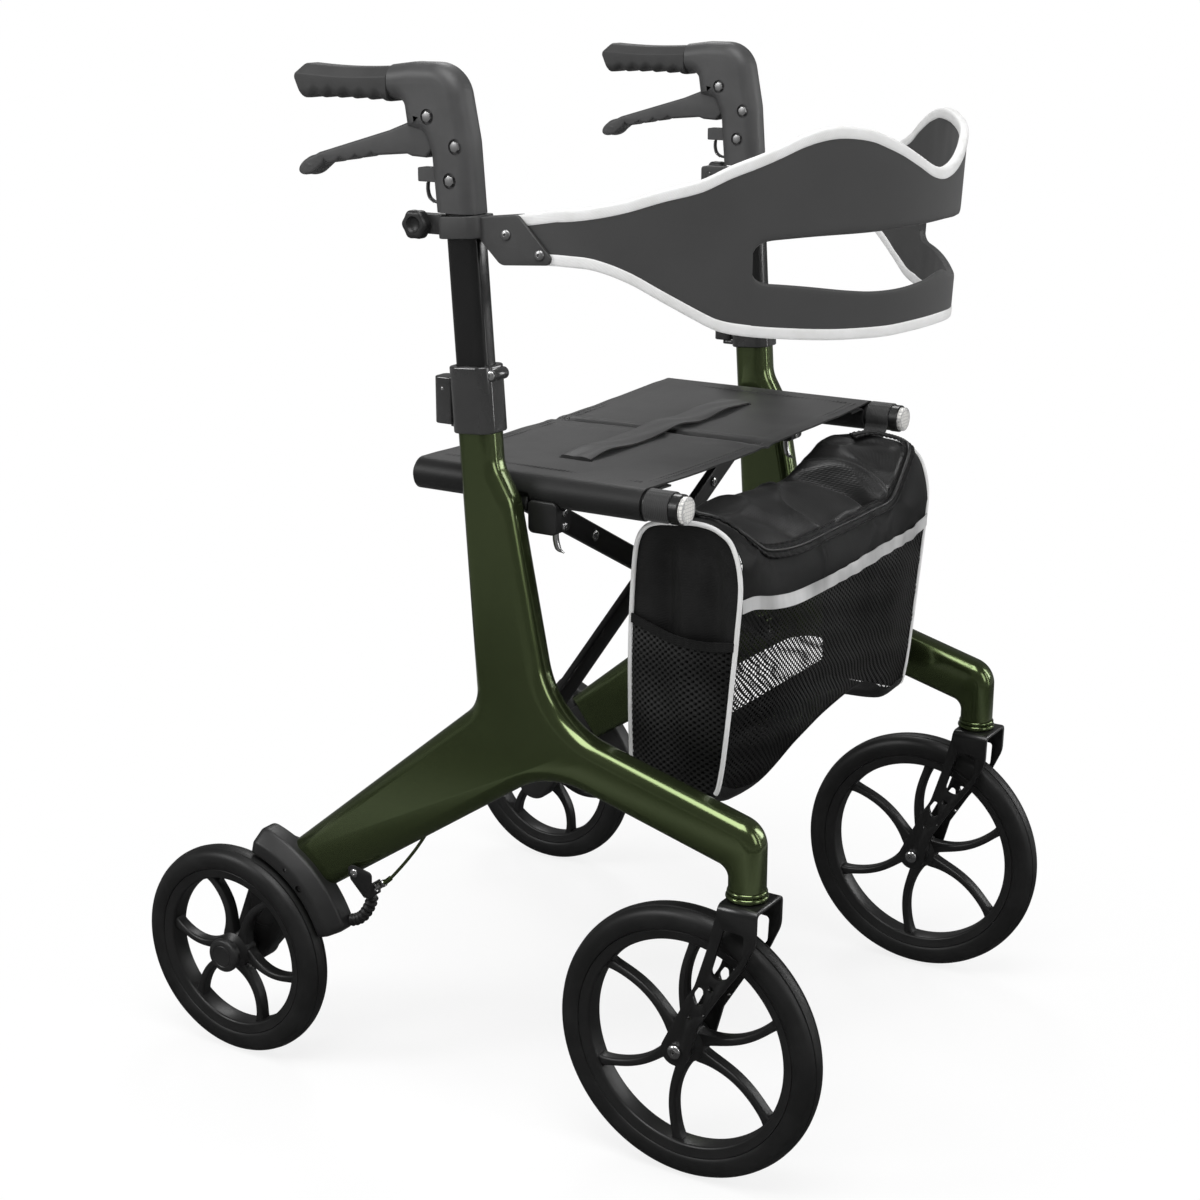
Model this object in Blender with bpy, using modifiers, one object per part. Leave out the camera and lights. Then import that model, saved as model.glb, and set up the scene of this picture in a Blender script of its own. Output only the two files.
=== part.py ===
# Folding four-wheeled rollator with a sling seat, a bag and a backrest band.
# Metres, +Z up. X is the width, with the user's right at -X, and the front wheels face -Y.
# The origin is on the ground, midway between the front and the rear of the wheels.
import math

import bmesh
import bpy
from mathutils import Matrix, Vector

# Wheels
FRONT_RADIUS = 0.125
REAR_RADIUS = 0.1035
WHEELBASE = 0.4775
TRAIL = 0.0533
TYRE_WIDTH = 0.028
TYRE_DEPTH = 0.0205
RIM_BAND = 0.0095
RIM_WIDTH = 0.023
SPOKE_WIDTH = 0.0085
SPOKE_DEPTH = 0.013
SPOKE_SWAY = 0.0085
SPOKES = 6
HUB_RADIUS = 0.0175
FRONT_HUB_WIDTH = 0.039
REAR_HUB_WIDTH = 0.036
AXLE_RADIUS = 0.004
HUB_CAP_RADIUS = 0.0155
HUB_CAP_DEPTH = 0.0052
FRONT_SPOKE_START = math.radians(25.5)
REAR_SPOKE_START = math.radians(51.0)
REAR_WHEEL_X = 0.2748

# Side frame: a Y-shaped moulding on each side
FRAME_X = 0.2438
FRAME_THICKNESS = 0.030
FRAME_EDGE = 0.012
POST_SETBACK = 0.2715
POST_REFERENCE_Z = 0.625
POST_LEAN = math.radians(3.8)
POST_DEPTH = 0.036
SHOULDER_TOP_Z = 0.605
SHOULDER_BOTTOM_Z = 0.577
SHOULDER_REACH = 0.0325
POST_FRONT_LEAN = math.radians(11.0)
STUB_RADIUS = 0.0150
STUB_BOTTOM_Z = 0.279
FRONT_LEG_TOP_Z = 0.334
FRONT_LEG_DEPTH = 0.047
FRONT_LEG_SLOPE = math.radians(15.3)
REAR_LEG_END = (0.069, 0.194)
REAR_LEG_ANGLE = math.radians(36.6)
REAR_LEG_TAPER = math.radians(2.9)
REAR_LEG_END_DEPTH = 0.0535

# Casters
STEM_RADIUS = 0.0062
STEM_TOP_Z = 0.322
CROWN_TOP_Z = 0.2695
CROWN_THICKNESS = 0.004
CROWN_DEPTH = 0.036
FORK_PLATE = 0.0038
FORK_GAP = 0.0205
FORK_TIP_RADIUS = 0.0135
COLLAR_RADIUS = 0.0182

# Folding cross
PIVOT_X = 0.216
PIVOT_Z = 0.34212
RAIL_ABOVE_BAR = 0.01112
CROSS_SETBACK = 0.296
BAR_SPACING = 0.010
BAR_HEIGHT = 0.020
BAR_THICKNESS = 0.008
PIN_RADIUS = 0.004
EAR_THICKNESS = 0.005
EAR_RADIUS = 0.0105

# Rests that the seat rails drop onto, beside the folding cross
REST_SIZE = 0.0285
REST_REACH = 0.008
REST_GAP = 0.0017
REST_DROP = 0.0208
REST_HOOK_RADIUS = 0.0028
REST_HOOK_LENGTH = 0.022

# Seat
RAIL_X = 0.213
RAIL_Z = 0.581
RAIL_RADIUS = 0.012
RAIL_BACK = 0.1835
RAIL_FRONT = 0.4495
REFLECTOR_RADIUS = 0.0115
REFLECTOR_DEPTH = 0.0045
SEAT_BACK = 0.1870
SEAT_FRONT = 0.4150
SLEEVE_WALL = 0.0018
PANEL_THICKNESS = 0.0040
SEAT_SAG = 0.004
STRAP_SLOT_X = 0.146
STRAP_WIDTH = 0.030
STRAP_THICKNESS = 0.0016
STRAP_TAIL = 0.014

# Bag
BAG_HALF_WIDTH = 0.188
BAG_BACK = 0.3860
BAG_FRONT = 0.4850
BAG_BOTTOM_Z = 0.318
BAG_SHOULDER_Z = 0.532
BAG_TOP_Z = 0.5665
HANGER_FRONT = 0.4412
HANGER_BACK = 0.4180
HANGER_WALL = 0.0022

# Telescoping handles
INNER_POST_DEPTH = 0.031
INNER_POST_WIDTH = 0.022
INNER_POST_BOTTOM_Z = 0.556
INNER_POST_DROP = 0.0692
POST_BORE_BOTTOM_Z = 0.452
CLAMP_BOTTOM_Z = 0.632
CLAMP_HEIGHT = 0.056
POST_IN_CLAMP = 0.018
COLLAR_DEPTH = 0.041
COLLAR_WIDTH = 0.034
PADDLE_WIDTH = 0.018
PADDLE_DEPTH = 0.018
PADDLE_HEIGHT = 0.040
HANDLE_TOP_Z = 0.9312
HANDLE_HEIGHT = 0.1187
HANDLE_THICKNESS = 0.031
HANDLE_EDGE = 0.010
# Places on a handle are given behind the post's line at the handle's top, and down from that top.
GRIP_START = 0.0582
GRIP_END = 0.1537
GRIP_WIDTH = 0.032
GRIP_EDGE = 0.0105
GRIP_CENTRE = 0.0177
GRIP_TOP = 0.0042
GRIP_BOTTOM = 0.0302
GRIP_CORE_RADIUS = 0.0085
LEVER_PIVOT = (0.0176, 0.0426)
LEVER_PIN_RADIUS = 0.0030
STOP_PLACE = (0.0249, 0.0897)
STOP_SIZE = (0.012, 0.020, 0.0115)
CABLE_HOLE = (0.0157, 0.1122)
LEVER_THICKNESS = 0.020
LEVER_SLOT = 0.0212
BULB_RADIUS = 0.0085
CABLE_RADIUS = 0.0013

# Backrest
BRACKET_GAP = 0.0020
BRACKET_HEIGHT = 0.0180
PLATE_THICKNESS = 0.0035
BAND_THICKNESS = 0.0064
BAND_X = 0.2450
BAND_ARM_END = 0.0402
BAND_ARM_START = 0.0912
BAND_REACH = 0.226
BAND_POWER = 1.55
BAND_SLOT_X = 0.1745
KNOB_RADIUS = 0.0125
KNOB_DEPTH = 0.011
KNOB_BEHIND = 0.0413

# Rear brake
HOOD_INNER = 0.1065
HOOD_OUTER = 0.1310
HOOD_FACE_X = 0.2770
HOOD_INSIDE_X = 0.2450
HOOD_WHEEL_SIDE_X = 0.2592
HOOD_POCKET_RADIUS = 0.1187
HOOD_START = math.radians(19.0)
HOOD_END = math.radians(78.0)
BRACKET_OUTER_X = 0.2560
BRACKET_INNER_X = 0.2355
TONGUE_LENGTH = 0.020
TONGUE_WIDTH = 0.018
SHOE_START = math.radians(29.0)
SHOE_PIVOT_ANGLE = math.radians(60.0)
SHOE_GAP = 0.0029
SHOE_DEPTH = 0.0085
SHOE_WIDTH = 0.0125
SHOE_PIN_RADIUS = 0.0018
BELLOWS_RADIUS = 0.0056
BELLOWS_RIBS = 8
BELLOWS_BORE = 0.0022

CLEARANCE = 0.0003
SLIDE_CLEARANCE = 0.0004

# Brake cables, as points (distance ahead of the rear axle, height)
CABLE_X = 0.2515
CABLE_ROUTE = [(0.2110, 0.2640), (0.2045, 0.2550), (0.1950, 0.2400), (0.1850, 0.2260), (0.1750, 0.2135),
               (0.1680, 0.2055), (0.1626, 0.2007)]
ADJUSTER = [(0.1480, 0.1900), (0.1618, 0.2000)]
BOOT_ROUTE = [(0.1468, 0.1835), (0.1445, 0.1755), (0.1400, 0.1670), (0.1342, 0.1597), (0.1275, 0.1552),
              (0.1208, 0.1525)]
# Behind the post's line at the handle's top, and down from that top
UPPER_CABLE = [(0.0284, 0.0960), (0.0286, 0.1022), (0.0267, 0.1082), (0.0217, 0.1117), (0.0139, 0.1122)]

# Facets of round shapes
WHEEL_STEPS = 32
BAND_COLUMNS = 18
LOWER_ROWS = 3

CLAMP_TOP_Z = CLAMP_BOTTOM_Z + CLAMP_HEIGHT
POST_TOP_Z = CLAMP_BOTTOM_Z + POST_IN_CLAMP

# Each bar climbs from its pivot to the seat rail of the other side, and the bolt is halfway along.
CROSS_Z = (PIVOT_Z + RAIL_Z - RAIL_ABOVE_BAR) / 2
CROSS_ANGLE = math.atan2(CROSS_Z - PIVOT_Z, PIVOT_X)

HANDLE_BOTTOM_Z = HANDLE_TOP_Z - HANDLE_HEIGHT
INNER_POST_TOP_Z = HANDLE_TOP_Z - INNER_POST_DROP
BRACKET_TOP_Z = HANDLE_BOTTOM_Z - BRACKET_GAP
BRACKET_BOTTOM_Z = BRACKET_TOP_Z - BRACKET_HEIGHT
BRACKET_Z = (BRACKET_TOP_Z + BRACKET_BOTTOM_Z) / 2

REAR_AXLE_Y = (FRONT_RADIUS + WHEELBASE - REAR_RADIUS) / 2
FRONT_AXLE_Y = REAR_AXLE_Y - WHEELBASE
STEM_Y = FRONT_AXLE_Y - TRAIL


# Scene and helpers

def ahead(distance):
    return REAR_AXLE_Y - distance


for leftover in list(bpy.data.objects):
    bpy.data.objects.remove(leftover, do_unlink=True)

PARTS = bpy.data.collections.new('rollator')
CUTTERS = bpy.data.collections.new('rollator_cutters')
bpy.context.scene.collection.children.link(PARTS)
bpy.context.scene.collection.children.link(CUTTERS)


def paint(name, colour, roughness, metallic=0.0):
    material = bpy.data.materials.new(name)
    material.use_nodes = True
    shader = material.node_tree.nodes['Principled BSDF']
    shader.inputs['Base Color'].default_value = (*colour, 1.0)
    shader.inputs['Roughness'].default_value = roughness
    shader.inputs['Metallic'].default_value = metallic
    return material


GREEN = paint('green_gloss', (0.035, 0.060, 0.012), 0.18)
BLACK_METAL = paint('black_metal', (0.018, 0.018, 0.019), 0.35, 0.3)
BLACK_GLOSS = paint('black_gloss', (0.012, 0.012, 0.012), 0.15)
BLACK_PLASTIC = paint('black_plastic', (0.030, 0.030, 0.031), 0.5)
GREY_PLASTIC = paint('grey_plastic', (0.060, 0.060, 0.062), 0.55)
RUBBER = paint('rubber', (0.022, 0.022, 0.023), 0.7)
STEEL = paint('steel', (0.62, 0.62, 0.62), 0.25, 1.0)
SEAT_CLOTH = paint('seat_cloth', (0.035, 0.035, 0.037), 0.6)
BAG_CLOTH = paint('bag_cloth', (0.020, 0.020, 0.021), 0.6)
BAND_CLOTH = paint('band_cloth', (0.055, 0.055, 0.058), 0.65)
REFLECTOR = paint('reflector', (0.80, 0.80, 0.78), 0.2)

JOINT_AT = {}
EMPTIES = {}


def joint_empty(body, point, parent=None):
    empty = bpy.data.objects.new(body, None)
    PARTS.objects.link(empty)
    JOINT_AT[body] = Vector(point)
    EMPTIES[body] = empty
    empty.location = JOINT_AT[body]
    if parent:
        empty.parent = EMPTIES[parent]
        empty.location = JOINT_AT[body] - JOINT_AT[parent]


def keep(obj, name, material, body):
    # Hands a finished solid to its moving body, whose empty lies on the joint's axis.
    obj.name = name
    obj.data.materials.clear()
    obj.data.materials.append(material)
    obj.parent = EMPTIES[body]
    obj.location = Vector(obj.location) - JOINT_AT[body]
    return obj


def place(mesh, location=(0, 0, 0), rotation=(0, 0, 0)):
    obj = bpy.data.objects.new('piece', mesh)
    PARTS.objects.link(obj)
    obj.location = location
    obj.rotation_euler = rotation
    return obj


def smooth(mesh):
    mesh.shade_smooth()
    mesh.set_sharp_from_angle(angle=math.radians(38))


def from_bmesh(shape, location=(0, 0, 0), rotation=(0, 0, 0)):
    mesh = bpy.data.meshes.new('piece')
    shape.to_mesh(mesh)
    shape.free()
    smooth(mesh)
    return place(mesh, location, rotation)


def as_mesh(curve_object):
    # Turns a curve into a closed mesh with its caps welded.
    graph = bpy.context.evaluated_depsgraph_get()
    mesh = bpy.data.meshes.new_from_object(curve_object.evaluated_get(graph))
    shape = bmesh.new()
    shape.from_mesh(mesh)
    bmesh.ops.remove_doubles(shape, verts=shape.verts, dist=0.00002)
    bmesh.ops.recalc_face_normals(shape, faces=shape.faces)
    shape.to_mesh(mesh)
    shape.free()
    smooth(mesh)
    solid = place(mesh)
    solid.matrix_world = curve_object.matrix_world
    bpy.data.objects.remove(curve_object)
    return solid


def block(size, centre, rotation=(0, 0, 0), edge=0.0):
    shape = bmesh.new()
    bmesh.ops.create_cube(shape, size=1.0, matrix=Matrix.Diagonal((*size, 1.0)))
    solid = from_bmesh(shape, centre, rotation)
    if edge:
        round_edges(solid, edge)
    return solid


def round_edges(solid, width, segments=2):
    bevel = solid.modifiers.new('edge', 'BEVEL')
    bevel.width = width
    bevel.segments = segments
    bevel.limit_method = 'ANGLE'
    bevel.angle_limit = math.radians(40)


ALONG_X = (0, math.pi / 2, 0)
ALONG_Y = (-math.pi / 2, 0, 0)
ALONG_Z = (0, 0, 0)
UPRIGHT_YZ = (math.pi / 2, 0, math.pi / 2)
UPRIGHT_XZ = (math.pi / 2, 0, 0)


def rod(radius, length, centre, rotation=ALONG_Z, sides=20):
    shape = bmesh.new()
    bmesh.ops.create_cone(shape, cap_ends=True, segments=sides, radius1=radius, radius2=radius, depth=length)
    return from_bmesh(shape, centre, rotation)


def arc(centre, radius, start, end, steps):
    return [(centre[0] + radius * math.cos(start + (end - start) * i / steps),
             centre[1] + radius * math.sin(start + (end - start) * i / steps)) for i in range(steps + 1)]


def rounded(corners, steps=4):
    # Replaces each corner (u, v, radius) of a closed outline by an arc of that radius.
    outline = []
    for i, (u, v, radius) in enumerate(corners):
        corner = Vector((u, v))
        before = (Vector(corners[i - 1][:2]) - corner).normalized()
        after = (Vector(corners[(i + 1) % len(corners)][:2]) - corner).normalized()
        if radius == 0:
            outline.append(tuple(corner))
            continue
        half = before.angle(after) / 2
        centre = corner + (before + after).normalized() * radius / math.sin(half)
        start = corner + before * radius / math.tan(half) - centre
        turn = start.angle_signed(corner + after * radius / math.tan(half) - centre)
        for k in range(steps + 1):
            swing = Matrix.Rotation(-turn * k / steps, 2)
            outline.append(tuple(centre + swing @ start))
    return outline


def box_outline(width, depth, radius, steps=2):
    u, v = width / 2, depth / 2
    return rounded([(-u, -v, radius), (u, -v, radius), (u, v, radius), (-u, v, radius)], steps)


def circle(centre, radius, steps=16):
    return arc(centre, radius, 0, 2 * math.pi * (1 - 1 / steps), steps - 1)


def prism(outlines, thickness, location, rotation, edge=0.0):
    # A flat outline, with any holes after it, made thick; edge rounds its rims inwards.
    curve = bpy.data.curves.new('outline', 'CURVE')
    curve.dimensions = '2D'
    curve.fill_mode = 'BOTH'
    curve.extrude = thickness / 2 - edge
    curve.bevel_depth = edge
    curve.bevel_resolution = 1 if edge > 0.004 else 0
    curve.offset = -edge
    for outline in outlines:
        spline = curve.splines.new('POLY')
        spline.points.add(len(outline) - 1)
        for point, (u, v) in zip(spline.points, outline):
            point.co = (u, v, 0, 1)
        spline.use_cyclic_u = True
    solid = bpy.data.objects.new('outline', curve)
    PARTS.objects.link(solid)
    solid.location = location
    solid.rotation_euler = rotation
    bpy.context.view_layer.update()
    return as_mesh(solid)


def tube(points, radius, radii=None, resolution=2):
    curve = bpy.data.curves.new('tube', 'CURVE')
    curve.dimensions = '3D'
    curve.bevel_depth = radius
    curve.bevel_resolution = resolution
    curve.use_fill_caps = True
    spline = curve.splines.new('POLY')
    spline.points.add(len(points) - 1)
    for i, (point, place_at) in enumerate(zip(spline.points, points)):
        point.co = (*place_at, 1)
        point.radius = radii[i] if radii else 1.0
    solid = bpy.data.objects.new('tube', curve)
    PARTS.objects.link(solid)
    bpy.context.view_layer.update()
    return as_mesh(solid)


def turned(profile, centre, rotation, steps=32, closed=False):
    # Spins a profile of (radius, height) pairs; an open one starts and ends on the axis.
    mesh = bpy.data.meshes.new('turned')
    edges = [(i, i + 1) for i in range(len(profile) - 1)]
    if closed:
        edges.append((len(profile) - 1, 0))
    mesh.from_pydata([(radius, 0, height) for radius, height in profile], edges, [])
    solid = place(mesh, centre, rotation)
    screw = solid.modifiers.new('turn', 'SCREW')
    screw.steps = steps
    screw.render_steps = steps
    screw.use_merge_vertices = True
    screw.merge_threshold = 0.00005
    screw.use_smooth_shade = True
    return solid


def as_tool(tool):
    PARTS.objects.unlink(tool)
    CUTTERS.objects.link(tool)
    tool.hide_render = True
    tool.display_type = 'WIRE'
    return tool


def combine(solid, tool, operation):
    change = solid.modifiers.new(operation.lower(), 'BOOLEAN')
    change.operation = operation
    change.solver = 'EXACT'
    change.object = as_tool(tool)
    return solid


def cut(solid, *tools):
    for tool in tools:
        combine(solid, tool, 'DIFFERENCE')
    return solid


def fuse(solid, *tools):
    for tool in tools:
        combine(solid, tool, 'UNION')
    return solid


# Places that several pieces share

def post_y(z):
    return ahead(POST_SETBACK) + (z - POST_REFERENCE_Z) * math.tan(POST_LEAN)


def on_post(side, z):
    return Vector((side * FRAME_X, post_y(z), z))


LEANING = (-POST_LEAN, 0, 0)


def bar_y(side):
    # The bar that starts at the right frame lies behind the one that starts at the left frame.
    return ahead(CROSS_SETBACK) - side * BAR_SPACING / 2


def at_handle(behind, drop):
    # A place on a handle: behind the post's line at the handle's top, and down from that top.
    return (post_y(HANDLE_TOP_Z) + behind, HANDLE_TOP_Z - drop)


def at_bracket(forward, drop):
    # A place on a backrest bracket: ahead of the post's line there, and down from the bracket's top.
    return (post_y(BRACKET_Z) - forward, BRACKET_TOP_Z - drop)


def on_fork(behind, drop):
    # A place on a fork's plates: behind the stem, and down from the crown's top.
    return (STEM_Y + behind, CROWN_TOP_Z - drop)


def front_axle(side):
    return Vector((side * FRAME_X, FRONT_AXLE_Y, FRONT_RADIUS))


def rear_axle(side):
    return Vector((side * REAR_WHEEL_X, REAR_AXLE_Y, REAR_RADIUS))


def around_rear_axle(radius, angle):
    # Angles run from straight ahead upwards.
    return (REAR_AXLE_Y - radius * math.cos(angle), REAR_RADIUS + radius * math.sin(angle))


def leg_end(distance=0.0, offset=0.0):
    # A point at the rear leg's end, moved along the leg to the front and square to it upwards.
    along = Vector((-math.cos(REAR_LEG_ANGLE), math.sin(REAR_LEG_ANGLE)))
    across = Vector((along.y, -along.x))
    middle = Vector((ahead(REAR_LEG_END[0]), REAR_LEG_END[1]))
    return middle + along * distance + across * offset


def meet(point_a, angle_a, point_b, angle_b):
    # Where two lines cross, each given by a point and its angle above the +Y direction.
    direction_a = Vector((math.cos(angle_a), math.sin(angle_a)))
    direction_b = Vector((math.cos(angle_b), math.sin(angle_b)))
    between = Vector(point_b) - Vector(point_a)
    crossing = direction_a.x * direction_b.y - direction_a.y * direction_b.x
    reach = (between.x * direction_b.y - between.y * direction_b.x) / crossing
    return Vector(point_a) + direction_a * reach


def lever_pivot(side):
    return Vector((side * FRAME_X, *at_handle(*LEVER_PIVOT)))


def shoe_pivot(side):
    radius = REAR_RADIUS + SHOE_GAP + SHOE_DEPTH / 2
    y, z = around_rear_axle(radius, SHOE_PIVOT_ANGLE)
    return Vector((side * shoe_x(), y, z))


def shoe_x():
    return REAR_WHEEL_X - TYRE_WIDTH / 2 + SHOE_WIDTH / 2 + 0.0010


def paddle_hinge(side):
    lever_z = (CLAMP_BOTTOM_Z + CLAMP_TOP_Z) / 2 - 0.004
    y = post_y(lever_z + PADDLE_HEIGHT / 2) + COLLAR_DEPTH / 2 + 0.0056
    return Vector((side * (FRAME_X - PADDLE_WIDTH / 2 + 0.004), y, lever_z))


def knob_axis(side):
    return Vector((side * (FRAME_X + 0.0085), *at_bracket(-KNOB_BEHIND, BRACKET_HEIGHT / 2)))


def side_word(side):
    return 'right' if side < 0 else 'left'


RIGHT, LEFT = -1, 1


# Bodies, each with its empty on its joint's axis

def make_bodies():
    joint_empty('rollator', (0, 0, 0))
    joint_empty('right_side', on_post(RIGHT, POST_REFERENCE_Z), 'rollator')
    joint_empty('rear_cross', (-PIVOT_X, bar_y(RIGHT), PIVOT_Z), 'right_side')
    joint_empty('front_cross', (0, ahead(CROSS_SETBACK), CROSS_Z), 'rear_cross')
    joint_empty('left_side', (PIVOT_X, bar_y(LEFT), PIVOT_Z), 'front_cross')
    for side in (RIGHT, LEFT):
        word = side_word(side)
        frame = word + '_side'
        joint_empty(word + '_handle', on_post(side, CLAMP_TOP_Z), frame)
        joint_empty(word + '_lever', lever_pivot(side), word + '_handle')
        joint_empty(word + '_knob', knob_axis(side), word + '_handle')
        joint_empty(word + '_paddle', paddle_hinge(side), frame)
        joint_empty(word + '_caster', (side * FRAME_X, STEM_Y, CROWN_TOP_Z), frame)
        joint_empty(word + '_front_wheel', front_axle(side), word + '_caster')
        joint_empty(word + '_rear_wheel', rear_axle(side), frame)
        joint_empty(word + '_shoe', shoe_pivot(side), frame)
    joint_empty('bag_hanger', (-RAIL_X, ahead((HANGER_FRONT + HANGER_BACK) / 2), RAIL_Z), 'front_cross')


# Wheels

def petal(start, sway, rim_inner):
    # The opening between the spoke at the start angle and the next one, which sways the other way.
    steps = 4
    gap = 2 * math.pi / SPOKES
    inner = HUB_RADIUS + 0.006
    outer = rim_inner + 0.0008
    first, second = [], []
    for i in range(steps + 1):
        share = i / steps
        radius = inner + (outer - inner) * share
        swell = sway * math.sin(math.pi * share) / radius
        flare = 0.5 * SPOKE_WIDTH * (1 + 0.7 * (2 * share - 1) ** 4)
        half = flare / radius
        first.append((radius, start + swell + half))
        second.append((radius, start + gap - swell - half))
    corner = first[-1][1]
    span = second[-1][1] - corner
    rim_edge = [(outer, corner + span * k / 4) for k in range(1, 4)]
    ring = first + rim_edge + second[::-1]
    return [(-radius * math.cos(angle), radius * math.sin(angle)) for radius, angle in ring]


def make_rim(word, end, centre, radius, hub_width, start, sway):
    band_outer = radius - TYRE_DEPTH - CLEARANCE
    band_inner = band_outer - RIM_BAND
    web = [circle((0, 0), band_inner + 0.002, WHEEL_STEPS)]
    for spoke in range(SPOKES):
        turn = start + spoke * 2 * math.pi / SPOKES
        web.append(petal(turn, sway if spoke % 2 == 0 else -sway, band_inner))
    rim = prism(web, SPOKE_DEPTH, centre, UPRIGHT_YZ)
    half = RIM_WIDTH / 2
    band = [(band_outer, half), (band_outer, -half), (band_inner, -half + 0.002), (band_inner, half - 0.002)]
    hub = rod(HUB_RADIUS, hub_width, centre, ALONG_X, 20)
    fuse(rim, turned(band, centre, ALONG_X, WHEEL_STEPS, closed=True), hub)
    cut(rim, rod(AXLE_RADIUS + CLEARANCE, hub_width + 0.01, centre, ALONG_X, 12))
    keep(rim, f'{word}_{end}_rim', BLACK_PLASTIC, f'{word}_{end}_wheel')


def make_tyre(word, end, centre, radius):
    seat = radius - TYRE_DEPTH
    half = TYRE_WIDTH / 2
    side_wall = seat + TYRE_DEPTH * 0.45
    profile = [(seat, -half + 0.003), (seat, half - 0.003), (side_wall, half), (radius - 0.004, half - 0.0025),
               (radius, half - 0.0075), (radius, -half + 0.0075), (radius - 0.004, -half + 0.0025), (side_wall, -half)]
    tyre = turned(profile, centre, ALONG_X, WHEEL_STEPS, closed=True)
    keep(tyre, f'{word}_{end}_tyre', RUBBER, f'{word}_{end}_wheel')


def make_front_wheel(side):
    word = side_word(side)
    make_rim(word, 'front', front_axle(side), FRONT_RADIUS, FRONT_HUB_WIDTH, FRONT_SPOKE_START, -SPOKE_SWAY)
    make_tyre(word, 'front', front_axle(side), FRONT_RADIUS)
    reach = FORK_GAP + FORK_PLATE + CLEARANCE
    bolt = rod(AXLE_RADIUS, 2 * reach, front_axle(side), ALONG_X, 12)
    for end in (RIGHT, LEFT):
        head = front_axle(side) + Vector((end * (reach + 0.0014), 0, 0))
        fuse(bolt, rod(0.0065, 0.003, head, ALONG_X, 6))
    keep(bolt, f'{word}_front_axle', STEEL, f'{word}_caster')


def make_rear_wheel(side):
    word = side_word(side)
    make_rim(word, 'rear', rear_axle(side), REAR_RADIUS, REAR_HUB_WIDTH, REAR_SPOKE_START, SPOKE_SWAY)
    make_tyre(word, 'rear', rear_axle(side), REAR_RADIUS)
    face = REAR_WHEEL_X + REAR_HUB_WIDTH / 2 + CLEARANCE
    profile = [(0, HUB_CAP_DEPTH), (HUB_CAP_RADIUS - 0.0015, HUB_CAP_DEPTH), (HUB_CAP_RADIUS, HUB_CAP_DEPTH - 0.0015),
               (HUB_CAP_RADIUS + 0.001, 0), (0, 0)]
    turn = ALONG_X if side > 0 else (0, -math.pi / 2, 0)
    cap = turned(profile, (side * face, REAR_AXLE_Y, REAR_RADIUS), turn, 20)
    keep(cap, f'{word}_rear_hub_cap', BLACK_PLASTIC, f'{word}_rear_wheel')


# Casters

def fork_outline():
    eye = (FRONT_AXLE_Y, FRONT_RADIUS)
    front = [on_fork(-0.0210, 0), on_fork(-0.0205, 0.0250), on_fork(-0.0160, 0.0400), on_fork(-0.0107, 0.0510),
             on_fork(0.0140, 0.0870), (eye[0] - 0.0210, eye[1] + 0.0270)]
    end = arc(eye, FORK_TIP_RADIUS, math.radians(205), math.radians(390), 7)
    rear = [on_fork(0.0361, 0.0820), on_fork(0.0240, 0.0430), on_fork(0.0155, 0.0080), on_fork(0.0150, 0)]
    return front + end + rear


def fork_windows():
    large = [(0.0088, 0.0215, 0.002), (-0.0102, 0.0225, 0.003), (-0.0092, 0.0440, 0.006), (0.0085, 0.0695, 0.007),
             (0.0212, 0.0655, 0.004)]
    small = [(0.0272, 0.0730, 0.002), (0.0262, 0.0930, 0.003), (0.0330, 0.0985, 0.003), (0.0372, 0.0875, 0.003)]
    return [rounded([(*on_fork(behind, drop), radius) for behind, drop, radius in corners], 2)
            for corners in (large, small)]


def make_caster(side):
    word = side_word(side)
    body = word + '_caster'
    plate_x = FORK_GAP + FORK_PLATE / 2
    hole = circle(on_fork(0.0200, 0.0783), 0.0030, 10)
    fork = block((2 * (FORK_GAP + FORK_PLATE), CROWN_DEPTH, CROWN_THICKNESS),
                 (side * FRAME_X, STEM_Y - 0.003, CROWN_TOP_Z - CROWN_THICKNESS / 2))
    for end in (RIGHT, LEFT):
        leg = prism([fork_outline(), *fork_windows(), hole], FORK_PLATE, (side * FRAME_X + end * plate_x, 0, 0),
                    UPRIGHT_YZ)
        fuse(fork, leg)
    stem_length = STEM_TOP_Z - CROWN_TOP_Z + 0.002
    fuse(fork, rod(STEM_RADIUS, stem_length, (side * FRAME_X, STEM_Y, STEM_TOP_Z - stem_length / 2), sides=20))
    cut(fork, rod(AXLE_RADIUS + CLEARANCE, 0.08, front_axle(side), ALONG_X, 12))
    keep(fork, word + '_fork', BLACK_METAL, body)

    low = CROWN_TOP_Z + CLEARANCE
    high = STUB_BOTTOM_Z - CLEARANCE
    bore = STEM_RADIUS + CLEARANCE
    profile = [(bore, high), (COLLAR_RADIUS - 0.0005, high), (COLLAR_RADIUS - 0.0012, (low + high) / 2),
               (COLLAR_RADIUS, low + 0.0015), (COLLAR_RADIUS - 0.001, low), (bore, low)]
    ring = turned(profile, (side * FRAME_X, STEM_Y, 0), ALONG_Z, 20, closed=True)
    keep(ring, word + '_caster_collar', GREEN, word + '_side')


# Side frame

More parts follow.
